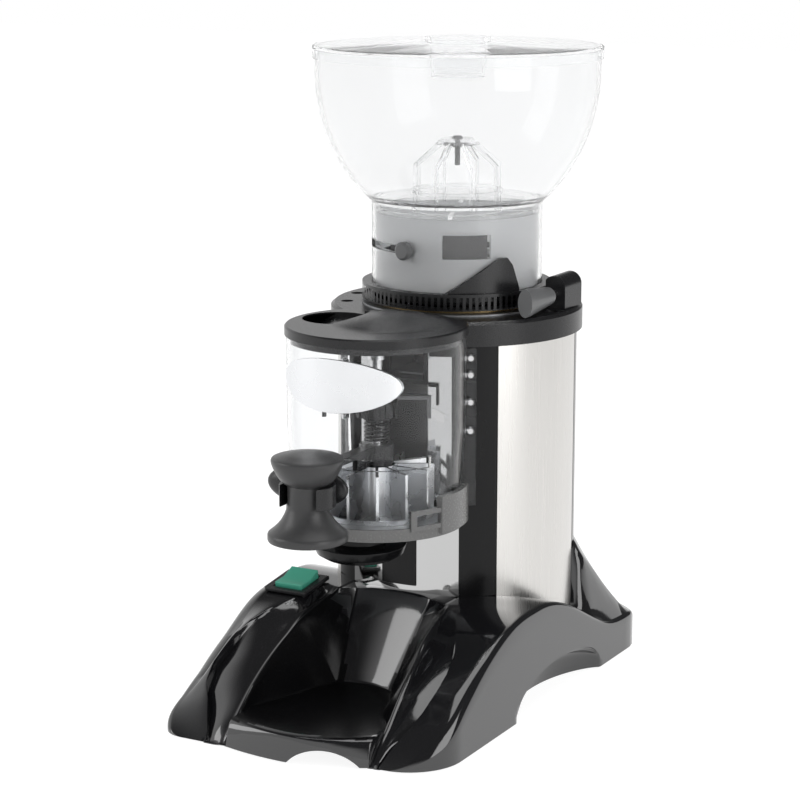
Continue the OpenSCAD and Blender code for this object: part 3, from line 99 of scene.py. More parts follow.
softbox("right_softbox", (1.6, -0.5, 0.7), (0, 0, 0.15), 1.0, 1.4, 13)
softbox("left_softbox", (-1.5, -0.9, 0.9), (0, 0, 0.15), 0.8, 1.2, 8)
softbox("top_softbox", (0.1, 0.2, 1.9), (0, 0, 0), 1.4, 1.4, 13)


def join(tree, output, target):
    """Links one node's output to another node's input."""
    tree.links.new(output, target)


def seen_by(tree, names):
    """One when a ray is of any of the named kinds."""
    ray = tree.nodes.new("ShaderNodeLightPath")
    found = ray.outputs[names[0]]
    for name in names[1:]:
        either = tree.nodes.new("ShaderNodeMath")
        either.operation = "MAXIMUM"
        join(tree, found, either.inputs[0])
        join(tree, ray.outputs[name], either.inputs[1])
        found = either.outputs[0]
    return found


background_rays = ["Is Camera Ray", "Is Transmission Ray", "Is Glossy Ray"]


def studio_sky():
    """A soft fill, seen white, that reflects as a bright left side and a dim ceiling."""
    world = bpy.data.worlds.new("studio_sky")
    world.use_nodes = True
    tree = world.node_tree
    tree.nodes.clear()
    out = tree.nodes.new("ShaderNodeOutputWorld")
    mix = tree.nodes.new("ShaderNodeMixShader")
    fill = tree.nodes.new("ShaderNodeBackground")
    fill.inputs["Color"].default_value = (1, 1, 1, 1)
    fill.inputs["Strength"].default_value = 0.55
    seen = tree.nodes.new("ShaderNodeBackground")
    seen.inputs["Strength"].default_value = 1
    where = tree.nodes.new("ShaderNodeTexCoord")
    slant = tree.nodes.new("ShaderNodeVectorMath")
    slant.operation = "DOT_PRODUCT"
    slant.inputs[1].default_value = (0.6, 0.3, 1)
    fade = tree.nodes.new("ShaderNodeMapRange")
    fade.interpolation_type = "SMOOTHSTEP"
    fade.inputs["From Min"].default_value = 0.1
    fade.inputs["From Max"].default_value = 0.5
    fade.inputs["To Min"].default_value = 1
    fade.inputs["To Max"].default_value = 0.08
    join(tree, where.outputs["Generated"], slant.inputs[0])
    join(tree, slant.outputs["Value"], fade.inputs["Value"])
    level = tree.nodes.new("ShaderNodeMath")
    level.operation = "MAXIMUM"
    join(tree, fade.outputs["Result"], level.inputs[0])
    join(tree, seen_by(tree, background_rays[:2]), level.inputs[1])
    join(tree, level.outputs[0], seen.inputs["Color"])
    join(tree, seen_by(tree, background_rays), mix.inputs["Fac"])
    join(tree, fill.outputs[0], mix.inputs[1])
    join(tree, seen.outputs[0], mix.inputs[2])
    join(tree, mix.outputs[0], out.inputs["Surface"])
    scene.world = world


studio_sky()


def floor_paint():
    """Matt white that shows nearly white and still takes a soft shadow."""
    paint = bpy.data.materials.new("floor_paint")
    paint.use_nodes = True
    tree = paint.node_tree
    tree.nodes.clear()
    out = tree.nodes.new("ShaderNodeOutputMaterial")
    mix = tree.nodes.new("ShaderNodeMixShader")
    matt = tree.nodes.new("ShaderNodeBsdfDiffuse")
    matt.inputs["Color"].default_value = (0.86, 0.86, 0.86, 1)
    glow = tree.nodes.new("ShaderNodeEmission")
    glow.inputs["Strength"].default_value = 1.28
    share = tree.nodes.new("ShaderNodeMath")
    share.operation = "MULTIPLY"
    share.inputs[1].default_value = 0.7
    join(tree, seen_by(tree, background_rays), share.inputs[0])
    join(tree, share.outputs[0], mix.inputs["Fac"])
    join(tree, matt.outputs[0], mix.inputs[1])
    join(tree, glow.outputs[0], mix.inputs[2])
    join(tree, mix.outputs[0], out.inputs["Surface"])
    return paint


bpy.ops.mesh.primitive_plane_add(size=12, location=(0, 0, 0))
studio_floor = bpy.context.active_object
studio_floor.name = "studio_floor"
studio_floor.data.materials.append(floor_paint())

# ---------------------------------------------------------------- base cover
# One moulding of glossy black plastic: two wings with sunk inner panels, the
# tray between them, skirts with hand grips, and the flare behind the column.
MM = 0.001
half_w = cad_highest[0] / MM
front_y = cad_lowest[1] / MM
back_y = cad_highest[1] / MM
column_y = back_y - 105
column_r = 81.3
crest_y = -17
fall_from = crest_y + 13
fall_to = back_y - 19
deck_z = 70
tray_z = 18
rear_z = 21
foot_z = 1
rear_round = 24
edge_round = 3
cover_wall = 2.4
lip_gap = 0.4
lip_reach = 12.4
lip_rise = 3.6
wall_foot_y = -59
wall_top_y = -21
flat_end_y = wall_foot_y - 1.5
rim_start_y = -24
rim_start_z = 69.8
rim_fall = 66.8
rim_sag = 18.5
leaf_sink = 6.5
leaf_crown = 1.6
bead_height = 1.1
back_hollow = 5
hub_lap = 3
flare_run = 56
flare_foot = 20
flare_rise = 70
flare_turn = 101
grip_y = 29
grip_half = 64
grip_height = 26
grip_depth = 22
# By side, 1 on the right and -1 on the left
tip_y = {1: -151, -1: -162}
tip_round = {1: 36, -1: 18}
rim_run = {1: 127, -1: 109}
floor_spread = {1: 8, -1: 0}
shoulder_tilt = {1: 0, -1: 6}
# Points of y and half width, from the tips to the rear: the tray's floor, its rim, what the
# rim gains on each side, and the outer edge of each leaf
floor_outline = [(-168, 44), (-143.5, 44.5), (-130, 41), (-111.7, 35.5), (-82.5, 28.6), (-59, 20.5),
                 (-21, 28), (0, 30), (170, 30)]
rim_outline = [(-60, 46), (-35, 45), (-20, 41), (0, 41)]
rim_spread = {1: [(-151, 8), (-128, 7), (-112, 5), (-73, 0.5), (-60, 0), (170, 0)],
              -1: [(-162, 0), (170, 0)]}
leaf_outline = {1: [(-151, 58), (-138, 63), (-129, 68), (-119, 72), (-105, 74.5), (-93, 75), (-78, 72.5),
                    (-60, 65), (-41, 56), (-30, 54), (0, 55), (170, 55)],
                -1: [(-158, 61), (-148, 67), (-138, 73), (-130, 79.5), (-117, 82), (-95, 80), (-80, 75.5),
                     (-65, 69), (-50, 61), (-40, 56), (-30, 54), (0, 55), (170, 55)]}
# Points of y and the radius of each wing's outer edge
rounding_outline = {1: [(-158, 10), (-100, 8), (-40, edge_round), (170, edge_round)],
                    -1: [(-162, 3), (-140, 4), (-115, 11), (-20, 12), (40, edge_round), (170, edge_round)]}
shoulder_shares = (0.08, 0.22, 0.36, 0.5, 0.609, 0.64, 0.672, 0.706, 0.742, 0.78, 0.82, 0.864, 0.91,
                   0.955, 1)
leaf_step = 0.6
shoulder_x = leaf_outline[1][-1][1] + leaf_step
hub_r = shoulder_x + (half_w - edge_round - shoulder_x) * shoulder_shares[4]


def finish(name, colour, shade, rough, grain, relief, metal=0, stretch=(1, 1, 1),
           depth=0.0001, mottle=14, gloss=0.5, index=1.5):
    """A surface that wanders between two colours and two roughnesses, with fine relief."""
    look = bpy.data.materials.new(name)
    look.use_nodes = True
    tree = look.node_tree
    shader = tree.nodes["Principled BSDF"]
    shader.inputs["Metallic"].default_value = metal
    shader.inputs["Specular IOR Level"].default_value = gloss
    shader.inputs["IOR"].default_value = index
    where = tree.nodes.new("ShaderNodeTexCoord")
    place = tree.nodes.new("ShaderNodeMapping")
    place.inputs["Scale"].default_value = stretch
    join(tree, where.outputs["Object"], place.inputs["Vector"])
    patches = tree.nodes.new("ShaderNodeTexNoise")
    patches.inputs["Scale"].default_value = mottle
    patches.inputs["Detail"].default_value = 3
    fine = tree.nodes.new("ShaderNodeTexNoise")
    fine.inputs["Scale"].default_value = grain
    fine.inputs["Detail"].default_value = 4
    for texture in (patches, fine):
        join(tree, place.outputs["Vector"], texture.inputs["Vector"])
    tone = tree.nodes.new("ShaderNodeMix")
    tone.data_type = "RGBA"
    tone.inputs["A"].default_value = (*colour, 1)
    tone.inputs["B"].default_value = (*shade, 1)
    join(tree, patches.outputs["Fac"], tone.inputs["Factor"])
    join(tree, tone.outputs["Result"], shader.inputs["Base Color"])
    spread = tree.nodes.new("ShaderNodeMapRange")
    spread.inputs["From Min"].default_value = 0.3
    spread.inputs["From Max"].default_value = 0.7
    spread.inputs["To Min"].default_value = rough[0]
    spread.inputs["To Max"].default_value = rough[1]
    join(tree, fine.outputs["Fac"], spread.inputs["Value"])
    join(tree, spread.outputs["Result"], shader.inputs["Roughness"])
    bump = tree.nodes.new("ShaderNodeBump")
    bump.inputs["Strength"].default_value = relief
    bump.inputs["Distance"].default_value = depth
    join(tree, fine.outputs["Fac"], bump.inputs["Height"])
    join(tree, bump.outputs["Normal"], shader.inputs["Normal"])
    return look


def along(value, stops):
    """The size at value, on straight lines between the stops."""
    for (a, p), (b, q) in zip(stops, stops[1:]):
        if value <= b:
            return p + (q - p) * max(0, (value - a) / (b - a))
    return stops[-1][1]


def ease(t):
    """Zero up to 0, one from 1 on, and smooth between them."""
    t = min(1, max(0, t))
    return t * t * (3 - 2 * t)


def wing_edge(y, side):
    """Half the plan's width at y, with the wing's round corner."""
    corner = tip_y[side] + tip_round[side]
    if y < corner:
        across = math.sqrt(max(0, tip_round[side] ** 2 - (corner - y) ** 2))
        return half_w - tip_round[side] + across
    return half_w


def wing_top(y, side):
    """The wing falls on a curve from the crest to its tip, and eases down to the rear."""
    if y < crest_y:
        return foot_z + (deck_z - foot_z) * (1 - ((crest_y - y) / (crest_y - tip_y[side])) ** 2)
    t = min(1, max(0, (y - fall_from) / (fall_to - fall_from)))
    return rear_z + (deck_z - rear_z) * (1 + math.cos(math.pi * t)) / 2


def flared(x, y, z):
    """The deck behind the column rises smoothly to the column's back."""
    reach = math.hypot(x, y - column_y)
    turn = math.degrees(math.atan2(abs(x), column_y - y))
    t = min(1, max(0, (reach - column_r) / flare_run, (abs(x) - column_r) / (half_w - column_r)))
    rise = flare_foot + flare_rise * (1 - t) ** 1.5
    soft = 3
    lift = soft * math.log1p(math.exp(min(40, (rise - z) / soft)))
    return z + ease((turn - flare_turn) / 8) * lift


def grip(y):
    """How far the hand grip is open at y, from 0 to 1."""
    return math.sqrt(max(0, 1 - ((y - grip_y) / grip_half) ** 2))


def skirt(place, outward, top, rounding):
    """Points from the shoulder down the skirt and into the hand grip."""
    (x, y), (nx, ny) = place, outward
    ring = []
    for turn in range(18, 91, 18):
        turn = math.radians(turn)
        back = rounding * (1 - math.sin(turn))
        ring.append((x - nx * back, y - ny * back, top - rounding * (1 - math.cos(turn))))
    high = top - rounding
    arch = foot_z + min(5, 0.6 * (high - foot_z)) * (1 - grip(y)) + grip_height * grip(y)
    for share in (0.2, 0.4, 0.6, 0.8, 0.93, 1):
        ring.append((x, y, high + (arch - high) * share))
    depth = grip_depth * grip(y) ** 1.5
    for inward, height in ((0.03, 0.985), (0.12, 0.97), (0.14, 0.93), (0.24, 0.91), (0.26, 0.86),
                           (0.6, 0.8), (0.85, 0.68), (0.96, 0.45), (1, 0)):
        ring.append((x - nx * depth * inward, y - ny * depth * inward, foot_z + (arch - foot_z) * height))
    return ring


def tray_rows():
    """For each row over the wings and tray: the y on each wing, at the middle, and the middle's height."""
    rows = []
    for reach, rise, z in ((0, 0, 1), (0.5, 0.3, 4.5), (1.4, 0.6, 8.5), (2.8, 0.9, 12.5), (4.6, 1.1, 15.6),
                           (6.8, 1.5, 17), (9.4, 2.3, 17.8), (lip_reach, lip_rise, tray_z)):
        rows.append((reach, None, front_y + rise, z))
    # The tray's floor, then the wall that curves up out of it to the deck
    flat_from = front_y + lip_rise
    for k in range(1, 25):
        rows.append((lip_reach, k / 24, flat_from + (flat_end_y - flat_from) * k / 24, tray_z))
    rows.append((None, wall_foot_y - 0.4, wall_foot_y - 0.4, tray_z + 0.4))
    wall_y = wall_foot_y + 0.7
    wall_z = tray_z + 1.8
    rows.append((None, wall_y, wall_y, wall_z))
    for k in range(1, 13):
        y = wall_y + (wall_top_y - 1.2 - wall_y) * k / 12
        rows.append((None, y, y, wall_z + (deck_z + 0.8 - wall_z) * k / 12))
    rows.append((None, wall_top_y, wall_top_y, deck_z + 1.7))
    deck_y = wall_top_y + 1.5
    rows.append((None, deck_y, deck_y, deck_z + 2))
    for k in range(1, 28):
        y = deck_y + (column_y - deck_y) * k / 27
        rows.append((None, y, y, wing_top(y, 1) + 2 * (1 - ease(k / 8))))
    return rows


def rim_height(side, y, top):
    """The tray's rim: on the right it falls away from the wing, and on the left it sags below it."""
    part = min(1, max(0, (rim_start_y - y) / rim_run[side]))
    if side < 0:
        rim = top - rim_sag * math.sqrt(part) * (1 - part) ** 1.5
    elif y > rim_start_y:
        rim = top
    else:
        rim = min(top - 0.3, rim_start_z - rim_fall * part ** 1.5)
    return max(rim, foot_z + 0.2)


def tray_section(side, row):
    """One cross-section, from the middle over the wing and down the skirt."""
    reach, share, y_mid, z_mid = row
    tip = tip_y[side]
    if reach is None:
        y = share
    elif share is None:
        y = tip + reach
    else:
        y = tip + reach + (flat_end_y - tip - reach) * share
    width = wing_edge(y, side)
    top = wing_top(y, side)
    rounding = min(along(y, rounding_outline[side]), (top - foot_z) * 0.45 + 0.05)
    rim_x = along(y, rim_outline) + along(y, rim_spread[side])
    floor_x = along(y_mid, floor_outline) + floor_spread[side] * ease((-100 - y_mid) / 60)
    leaf_x = min(along(y, leaf_outline[side]), width - rounding - 1.5)
    rim = rim_height(side, y, top)
    step = leaf_sink * ease((-62 - y) / 45) * (0.45 + 0.55 * ease((y - tip) / 20))
    leaf = top - step
    crown = leaf_crown * ease((-50 - y) / 40) * ease((y - tip) / 10)
    bead = bead_height * ease((rim_start_y - y) / 6) * ease((y - tip) / 6)
    arch = 5 * min(1, max(0, (z_mid - deck_z + 12) / 12)) if y_mid < wall_top_y else z_mid - top
    # The floor, a little arched where it is the deck
    line = []
    for part in (0, 0.14, 0.28, 0.42, 0.56, 0.7, 0.84, 0.96):
        x = part * (floor_x - 0.8)
        line.append((x, z_mid - arch * (x / 46) ** 2))
    # The side wall of the tray, and the bead on its rim
    x, z = floor_x, z_mid - arch * (floor_x / 46) ** 2
    line += [(x - 0.8, z), (x - 0.1, z + (0.2 if rim > z else 0))]
    for part in (0.03, 0.2, 0.36, 0.52, 0.68, 0.84, 0.95):
        line.append((x + (rim_x - 1 - x) * part, z + (rim - 0.6 - z) * part))
    for dx, dz in ((-0.5, -0.1), (-0.1, 0.3), (0.4, 0.5), (0.9, 0.45), (1.5, 0.2), (2.2, 0.05), (3, 0)):
        line.append((rim_x + dx, rim + dz * bead))
    # The sunk leaf, slightly crowned, and the step up to the shoulder
    start = rim_x + 3.9
    for part in (0, 0.12, 0.28, 0.44, 0.6, 0.76, 0.9, 1):
        line.append((start + (leaf_x - 0.8 - start) * part,
                     rim + (leaf - rim) * part + crown * math.sin(math.pi * part)))
    for dx, part in ((-0.2, 0.35), (0.1, 0.8), (leaf_step, 1)):
        line.append((leaf_x + dx, leaf + (top - leaf) * part))
    # The shoulder, tilted outwards on the left
    start = leaf_x + leaf_step
    tilt = shoulder_tilt[side] * ease((-45 - y) / 45) * min(1, (top - foot_z) / 24)
    for part in shoulder_shares:
        line.append((start + (width - rounding - start) * part, top - tilt * part ** 1.5))
    # The tray's wall at the back is hollow, and the rows bend from the middle out to the wings
    rear_fade = ease((y_mid + 90) / 29) if y_mid < wall_top_y else 1 - ease((y_mid - wall_top_y) / 25)
    hollow = back_hollow * rear_fade
    ring = []
    for x, z in line:
        bend = (y_mid - y) * (1 - min(1, x / rim_x) ** 2)
        sink = hollow * min(1, x / floor_x) ** 2 * (1 - ease((x - rim_x) / 15))
        ring.append((x, y + bend - sink, z))
    ring += skirt((width, y), (1, 0), top - tilt, rounding)
    return [(side * x, y, max(foot_z, z)) for x, y, z in ring]


def fan_section(turn):
    """One cross-section on a ray from the column's axis, for the part behind it."""
    side = 1 if turn <= 180 else -1
    angle = math.radians(turn if side > 0 else 360 - turn)
    dx, dy = math.sin(angle), -math.cos(angle)
    reach = half_w / dx if dx > 1e-6 else 1e6
    outward = (1, 0)
    if dy > 1e-6 and (back_y - column_y) / dy < reach:
        reach = (back_y - column_y) / dy
        outward = (0, 1)
    cx, cy = half_w - rear_round, back_y - column_y - rear_round
    if dx * reach > cx and dy * reach > cy:
        near = dx * cx + dy * cy
        reach = near + math.sqrt(near ** 2 - cx ** 2 - cy ** 2 + rear_round ** 2)
        outward = ((dx * reach - cx) / rear_round, (dy * reach - cy) / rear_round)
    x, y = dx * reach, column_y + dy * reach
    inner = (x - outward[0] * edge_round, y - outward[1] * edge_round)
    ring = []
    for share in shoulder_shares[4:]:
        part = (share - shoulder_shares[4]) / (1 - shoulder_shares[4])
        px = dx * hub_r + (inner[0] - dx * hub_r) * part
        py = column_y + dy * hub_r + (inner[1] - column_y - dy * hub_r) * part
        ring.append((px, py, flared(px, py, wing_top(py, side))))
    ring += skirt((x, y), outward, flared(*inner, wing_top(inner[1], side)), edge_round)
    return [(side * x, y, max(foot_z, z)) for x, y, z in ring]


def sheet(name, lines):
    """A grid of faces whose rows run through the given lines of points."""
    bpy.ops.object.select_all(action="DESELECT")
    bpy.ops.mesh.primitive_grid_add(x_subdivisions=len(lines[0]) - 1, y_subdivisions=len(lines) - 1, size=1)
    piece = bpy.context.active_object
    piece.name = name
    places = [point for line in lines for point in line]
    piece.data.vertices.foreach_set("co", [value * MM for place in places for value in place])
    return piece


def pick(piece, wanted):
    """Opens the piece in edit mode with only the faces selected whose middle is wanted."""
    bpy.ops.object.mode_set(mode="EDIT")
    bpy.ops.mesh.select_mode(type="FACE")
    bpy.ops.mesh.select_all(action="DESELECT")
    bpy.ops.object.mode_set(mode="OBJECT")
    for face in piece.data.polygons:
        face.select = wanted(face.center)
    bpy.ops.object.mode_set(mode="EDIT")


def block(place, size, turn=(0, 0, 0)):
    """A box with its middle at place, turned by degrees."""
    bpy.ops.object.select_all(action="DESELECT")
    bpy.ops.mesh.primitive_cube_add(size=1, location=[part * MM for part in place],
                                    rotation=[math.radians(part) for part in turn],
                                    scale=[part * MM for part in size])
    return bpy.context.active_object


def rod(place, radius, sides):
    """A round bar 20 mm long that lies front to back with its middle at place."""
    bpy.ops.object.select_all(action="DESELECT")
    bpy.ops.mesh.primitive_cylinder_add(vertices=sides, radius=radius * MM, depth=20 * MM,
                                        location=[part * MM for part in place],
                                        rotation=(math.radians(90), 0, 0))
    return bpy.context.active_object


def cut(piece, cutters):
    """Cuts the shapes out of the piece, and takes them away."""
    for cutter in cutters:
        bpy.ops.object.select_all(action="DESELECT")
        piece.select_set(True)
        bpy.context.view_layer.objects.active = piece
        carve = piece.modifiers.new("carve", "BOOLEAN")
        carve.object = cutter
        carve.operation = "DIFFERENCE"
        carve.solver = "MANIFOLD"
        bpy.ops.object.modifier_apply(modifier=carve.name)
        bpy.data.objects.remove(cutter)


front_lines = []
for row in tray_rows():
    left, right = tray_section(-1, row), tray_section(1, row)
    front_lines.append(left[:0:-1] + right)
base_cover = sheet("base_cover", front_lines)
turns = [*range(90, 100, 2), *range(100, 108), *range(108, 113, 2), *range(115, 179, 3)]
turns += [180] + [360 - turn for turn in turns[::-1]]
rear_deck = sheet("rear_deck", [fan_section(turn) for turn in turns])
base_cover.select_set(True)
bpy.context.view_layer.objects.active = base_cover
bpy.ops.object.join()
bpy.ops.object.mode_set(mode="EDIT")
bpy.ops.mesh.select_all(action="SELECT")
bpy.ops.mesh.remove_doubles(threshold=0.02 * MM)
bpy.ops.mesh.normals_make_consistent(inside=False)
bpy.ops.object.mode_set(mode="OBJECT")
# The column stands in a round hole, and the wall goes inwards from the outer skin
pick(base_cover, lambda at: math.hypot(at.x / MM, at.y / MM - column_y) < hub_r - hub_lap)
bpy.ops.mesh.delete(type="FACE")
bpy.ops.object.mode_set(mode="OBJECT")
wall = base_cover.modifiers.new("wall", "SOLIDIFY")
wall.thickness = cover_wall * MM
wall.offset = -1
bpy.ops.object.modifier_apply(modifier=wall.name)

# Holes for the switch and the cord gland, and the notch in the lip
notch_x = 25.5
switch_hole = block((-69, -34, 69), (27, 27, 27), turn=(7.4, 0, 0))
gland_hole = rod((0, back_y, 19), radius=6.4, sides=48)
notch = rod((notch_x, -163, -19.5), radius=30.3, sides=96)
cut(base_cover, [switch_hole, gland_hole, notch])
for corner in base_cover.data.vertices:
    corner.co.z = max(corner.co.z, lip_gap * MM)
bpy.ops.object.shade_smooth_by_angle(angle=math.radians(40))
black_gloss = finish("black_gloss", (0.006, 0.006, 0.007), (0.009, 0.009, 0.010),
                     (0.06, 0.10), grain=500, relief=0.02, index=1.8)
deep_black = finish("deep_black", (0.003, 0.003, 0.0033), (0.005, 0.005, 0.0055),
                    (0.16, 0.24), grain=500, relief=0.02, gloss=0.14)
base_cover.data.materials.clear()
base_cover.data.materials.append(black_gloss)
base_cover.data.materials.append(deep_black)
# The tray's floor and its side walls are duller than the wings
tray_half_w = 50
for face in base_cover.data.polygons:
    x, y, z = face.center / MM
    inside = abs(x) < tray_half_w and front_y + 10 < y < rim_start_y and z > 5
    side_wall = abs(face.normal.x) > 0.3 and x * face.normal.x < 0
    tray_floor = face.normal.z > 0.9 and z < tray_z + 1
    if inside and (side_wall or tray_floor):
        face.material_index = 1
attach(base_cover, "machine")
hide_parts("base_shell")


# ---------------------------------------------------------------- underside
# Zinc-plated steel plate that closes the base, held by four screws, with
# moulded rubber feet and the gland where the cord comes in.


def dress(node, look):
    """Gives a CAD node its finish."""
    piece = frame["nodes"][node]
    piece.data.materials.clear()
    piece.data.materials.append(look)


def body_with(node):
    """The name of the body that a CAD node belongs to."""
    parent = frame["nodes"][node].parent
    return next(name for name, holder in frame["bodies"].items() if holder == parent)


def softened(name, node, look, edge, steps=2):
    """The CAD solid with its faces joined up and its sharp edges rounded."""
    bpy.ops.object.select_all(action="DESELECT")
    piece = bpy.data.objects.new(name, frame["nodes"][node].data.copy())
    scene.collection.objects.link(piece)
    piece.select_set(True)
    bpy.context.view_layer.objects.active = piece
    bpy.ops.object.mode_set(mode="EDIT")
    bpy.ops.mesh.select_all(action="SELECT")
    bpy.ops.mesh.remove_doubles(threshold=0.01 * MM)
    bpy.ops.mesh.dissolve_limited(angle_limit=math.radians(0.5))
    bpy.ops.object.mode_set(mode="OBJECT")
    if edge:
        bevel = piece.modifiers.new("round_edges", "BEVEL")
        bevel.width = edge * MM
        bevel.segments = steps
        bevel.limit_method = "ANGLE"
        bevel.angle_limit = math.radians(35)
        bpy.ops.object.modifier_apply(modifier=bevel.name)
    bpy.ops.object.shade_smooth_by_angle(angle=math.radians(40))
    true = piece.modifiers.new("true_faces", "WEIGHTED_NORMAL")
    true.keep_sharp = True
    bpy.ops.object.modifier_apply(modifier=true.name)
    piece.data.materials.clear()
    piece.data.materials.append(look)
    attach(piece, body_with(node))
    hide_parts(node)
    return piece


plate_steel = finish("plate_steel", (0.55, 0.56, 0.58), (0.48, 0.49, 0.51), (0.3, 0.45), metal=1,
                     grain=300, relief=0.05)
bright_steel = finish("bright_steel", (0.62, 0.62, 0.62), (0.56, 0.56, 0.57), (0.18, 0.3), metal=1,
                      grain=700, relief=0.04)
rubber = finish("rubber", (0.02, 0.02, 0.02), (0.03, 0.03, 0.03), (0.7, 0.85), grain=1500, relief=0.2)
black_matt = finish("black_matt", (0.008, 0.008, 0.009), (0.012, 0.012, 0.013), (0.24, 0.34),
                    grain=1800, relief=0.06, gloss=0.4)
# The plate stands back behind the notch in the lip
bottom_plate = softened("bottom_plate", "base_plate", plate_steel, edge=0)
cut(bottom_plate, [block((notch_x, -140, 8), (48, 60, 16))])
dress("feet", rubber)
dress("base_screws", bright_steel)
softened("cord_gland", "cable_gland", black_matt, edge=0.5)

# ---------------------------------------------------------------- switch
# Rocker of green plastic in a black frame, which snaps into a hole in the
# left wing.
green = finish("green", (0.055, 0.35, 0.24), (0.09, 0.42, 0.30), (0.14, 0.22), grain=600, relief=0.03)
softened("switch_bezel", "switch_frame", black_matt, edge=0.8)
softened("rocker", "switch_rocker", green, edge=0.8, steps=3)

# ---------------------------------------------------------------- column
# Aluminium casting inside black mouldings and two brushed steel panels,
# with a polished panel in the middle of the front.
cast_metal = finish("cast_metal", (0.42, 0.43, 0.44), (0.36, 0.37, 0.38), (0.42, 0.6), metal=1,
                    grain=450, relief=0.35, depth=0.0003)
brushed_steel = finish("brushed_steel", (0.68, 0.667, 0.645), (0.65, 0.638, 0.617), (0.26, 0.33), metal=1,
                       grain=60, stretch=(22, 22, 0.35), relief=0.03, mottle=4)
mirror_steel = finish("mirror_steel", (0.52, 0.52, 0.52), (0.46, 0.46, 0.46), (0.04, 0.08), metal=1,
                      grain=300, relief=0.02)
dress("body_casting", cast_metal)
satin_black = finish("satin_black", (0.004, 0.004, 0.0045), (0.007, 0.007, 0.0075), (0.14, 0.2),
                     grain=700, relief=0.04, gloss=0.22)
softened("column_moulding", "column_front", satin_black, edge=0.6)
softened("polished_panel", "front_panel", mirror_steel, edge=0.2)
softened("middle_strip", "centre_trim", satin_black, edge=0.4)
softened("left_panel", "left_steel_panel", brushed_steel, edge=0.3)
softened("right_panel", "right_steel_panel", brushed_steel, edge=0.3)
softened("rear_moulding", "column_rear", satin_black, edge=0.6)
softened("column_cover", "top_cover", black_matt, edge=1.2, steps=3)
dress("cover_screws", bright_steel)

# ---------------------------------------------------------------- motor
# Laminated stator and rotor on a ground shaft in ball bearings, with a fan
# below and the start capacitor beside it.
lamination = finish("lamination", (0.30, 0.30, 0.32), (0.24, 0.24, 0.26), (0.35, 0.5), metal=1,
                    grain=40, stretch=(0.5, 0.5, 40), relief=0.3)
drawn_can = finish("drawn_can", (0.62, 0.63, 0.65), (0.55, 0.56, 0.58), (0.2, 0.32), metal=1,
                   grain=80, stretch=(0.4, 20, 20), relief=0.05)
for node in ("stator", "rotor"):
    dress(node, lamination)
for node in ("motor_shaft", "motor_bolts"):
    dress(node, bright_steel)
for node in ("end_shield", "motor_flange"):
    dress(node, cast_metal)
dress("shaft_bearings", bright_steel)
dress("cooling_fan", black_matt)
dress("capacitor", drawn_can)

# ---------------------------------------------------------------- burr set
# Flat hardened steel burrs, screwed to a cast carrier below and to a brass
# one above, in a cast chamber with a plastic chute.
burr_steel = finish("burr_steel", (0.5, 0.49, 0.48), (0.43, 0.42, 0.41), (0.25, 0.4), metal=1,
                    grain=500, relief=0.08)
brass = finish("brass", (0.30, 0.22, 0.11), (0.22, 0.16, 0.08), (0.3, 0.45), metal=1, grain=400,
               relief=0.05)
for node in ("grinding_chamber", "lower_carrier"):
    dress(node, cast_metal)
for node in ("lower_burr", "upper_burr"):
    dress(node, burr_steel)
for node in ("lower_burr_screws", "upper_burr_screws"):
    dress(node, bright_steel)
dress("upper_carrier", brass)
dress("outlet_chute", black_matt)

# ---------------------------------------------------------------- adjuster
# Black plastic ring that sets the grind, with a ribbed band and two ears. A
# steel worm shaft in a bracket turns it, by a plastic knob.
band_r = 63.85
band_low = 258.3
band_high = 267
grind_ring = softened("grind_ring", "adjusting_ring", black_matt, edge=0.5)
# The broad teeth come off, and a finely ribbed band over a smooth skirt takes their place
pick(grind_ring, lambda at: (math.hypot(at.x / MM, at.y / MM - column_y) > band_r
                             and band_low < at.z / MM < band_high))
bpy.ops.mesh.delete(type="FACE")
bpy.ops.object.mode_set(mode="OBJECT")


def hoop(name, radius, low, high, wall, ribs=0, rib_depth=0):
    """A ring round the column's axis, with upright ribs on it where ribs are given."""
    bpy.ops.object.select_all(action="DESELECT")
    bpy.ops.mesh.primitive_circle_add(vertices=ribs * 4 or 96, radius=radius * MM, fill_type="NOTHING",
                                      location=(0, column_y * MM, low * MM))
    ring = bpy.context.active_object
    ring.name = name
    if ribs:
        for index, corner in enumerate(ring.data.vertices):
            if index % 4 > 1:
                corner.co *= 1 - rib_depth / radius
    bpy.ops.object.transform_apply()
    bpy.ops.object.mode_set(mode="EDIT")
    bpy.ops.mesh.select_all(action="SELECT")
    bpy.ops.mesh.extrude_region_move(TRANSFORM_OT_translate={"value": (0, 0, (high - low) * MM)})
    bpy.ops.mesh.select_all(action="SELECT")
    bpy.ops.mesh.normals_make_consistent(inside=False)
    bpy.ops.object.mode_set(mode="OBJECT")
    skin = ring.modifiers.new("skin", "SOLIDIFY")
    skin.thickness = wall * MM
    skin.offset = -1
    bpy.ops.object.modifier_apply(modifier=skin.name)
    bpy.ops.object.shade_smooth_by_angle(angle=math.radians(25))
    return ring


def merged(piece, parts):
    """Joins the parts into the piece, which keeps its name and its finish."""
    bpy.ops.object.select_all(action="DESELECT")
    for part in parts:
        part.select_set(True)
        part.data.materials.clear()
        part.data.materials.append(piece.data.materials[0])
    piece.select_set(True)
    bpy.context.view_layer.objects.active = piece
    bpy.ops.object.join()


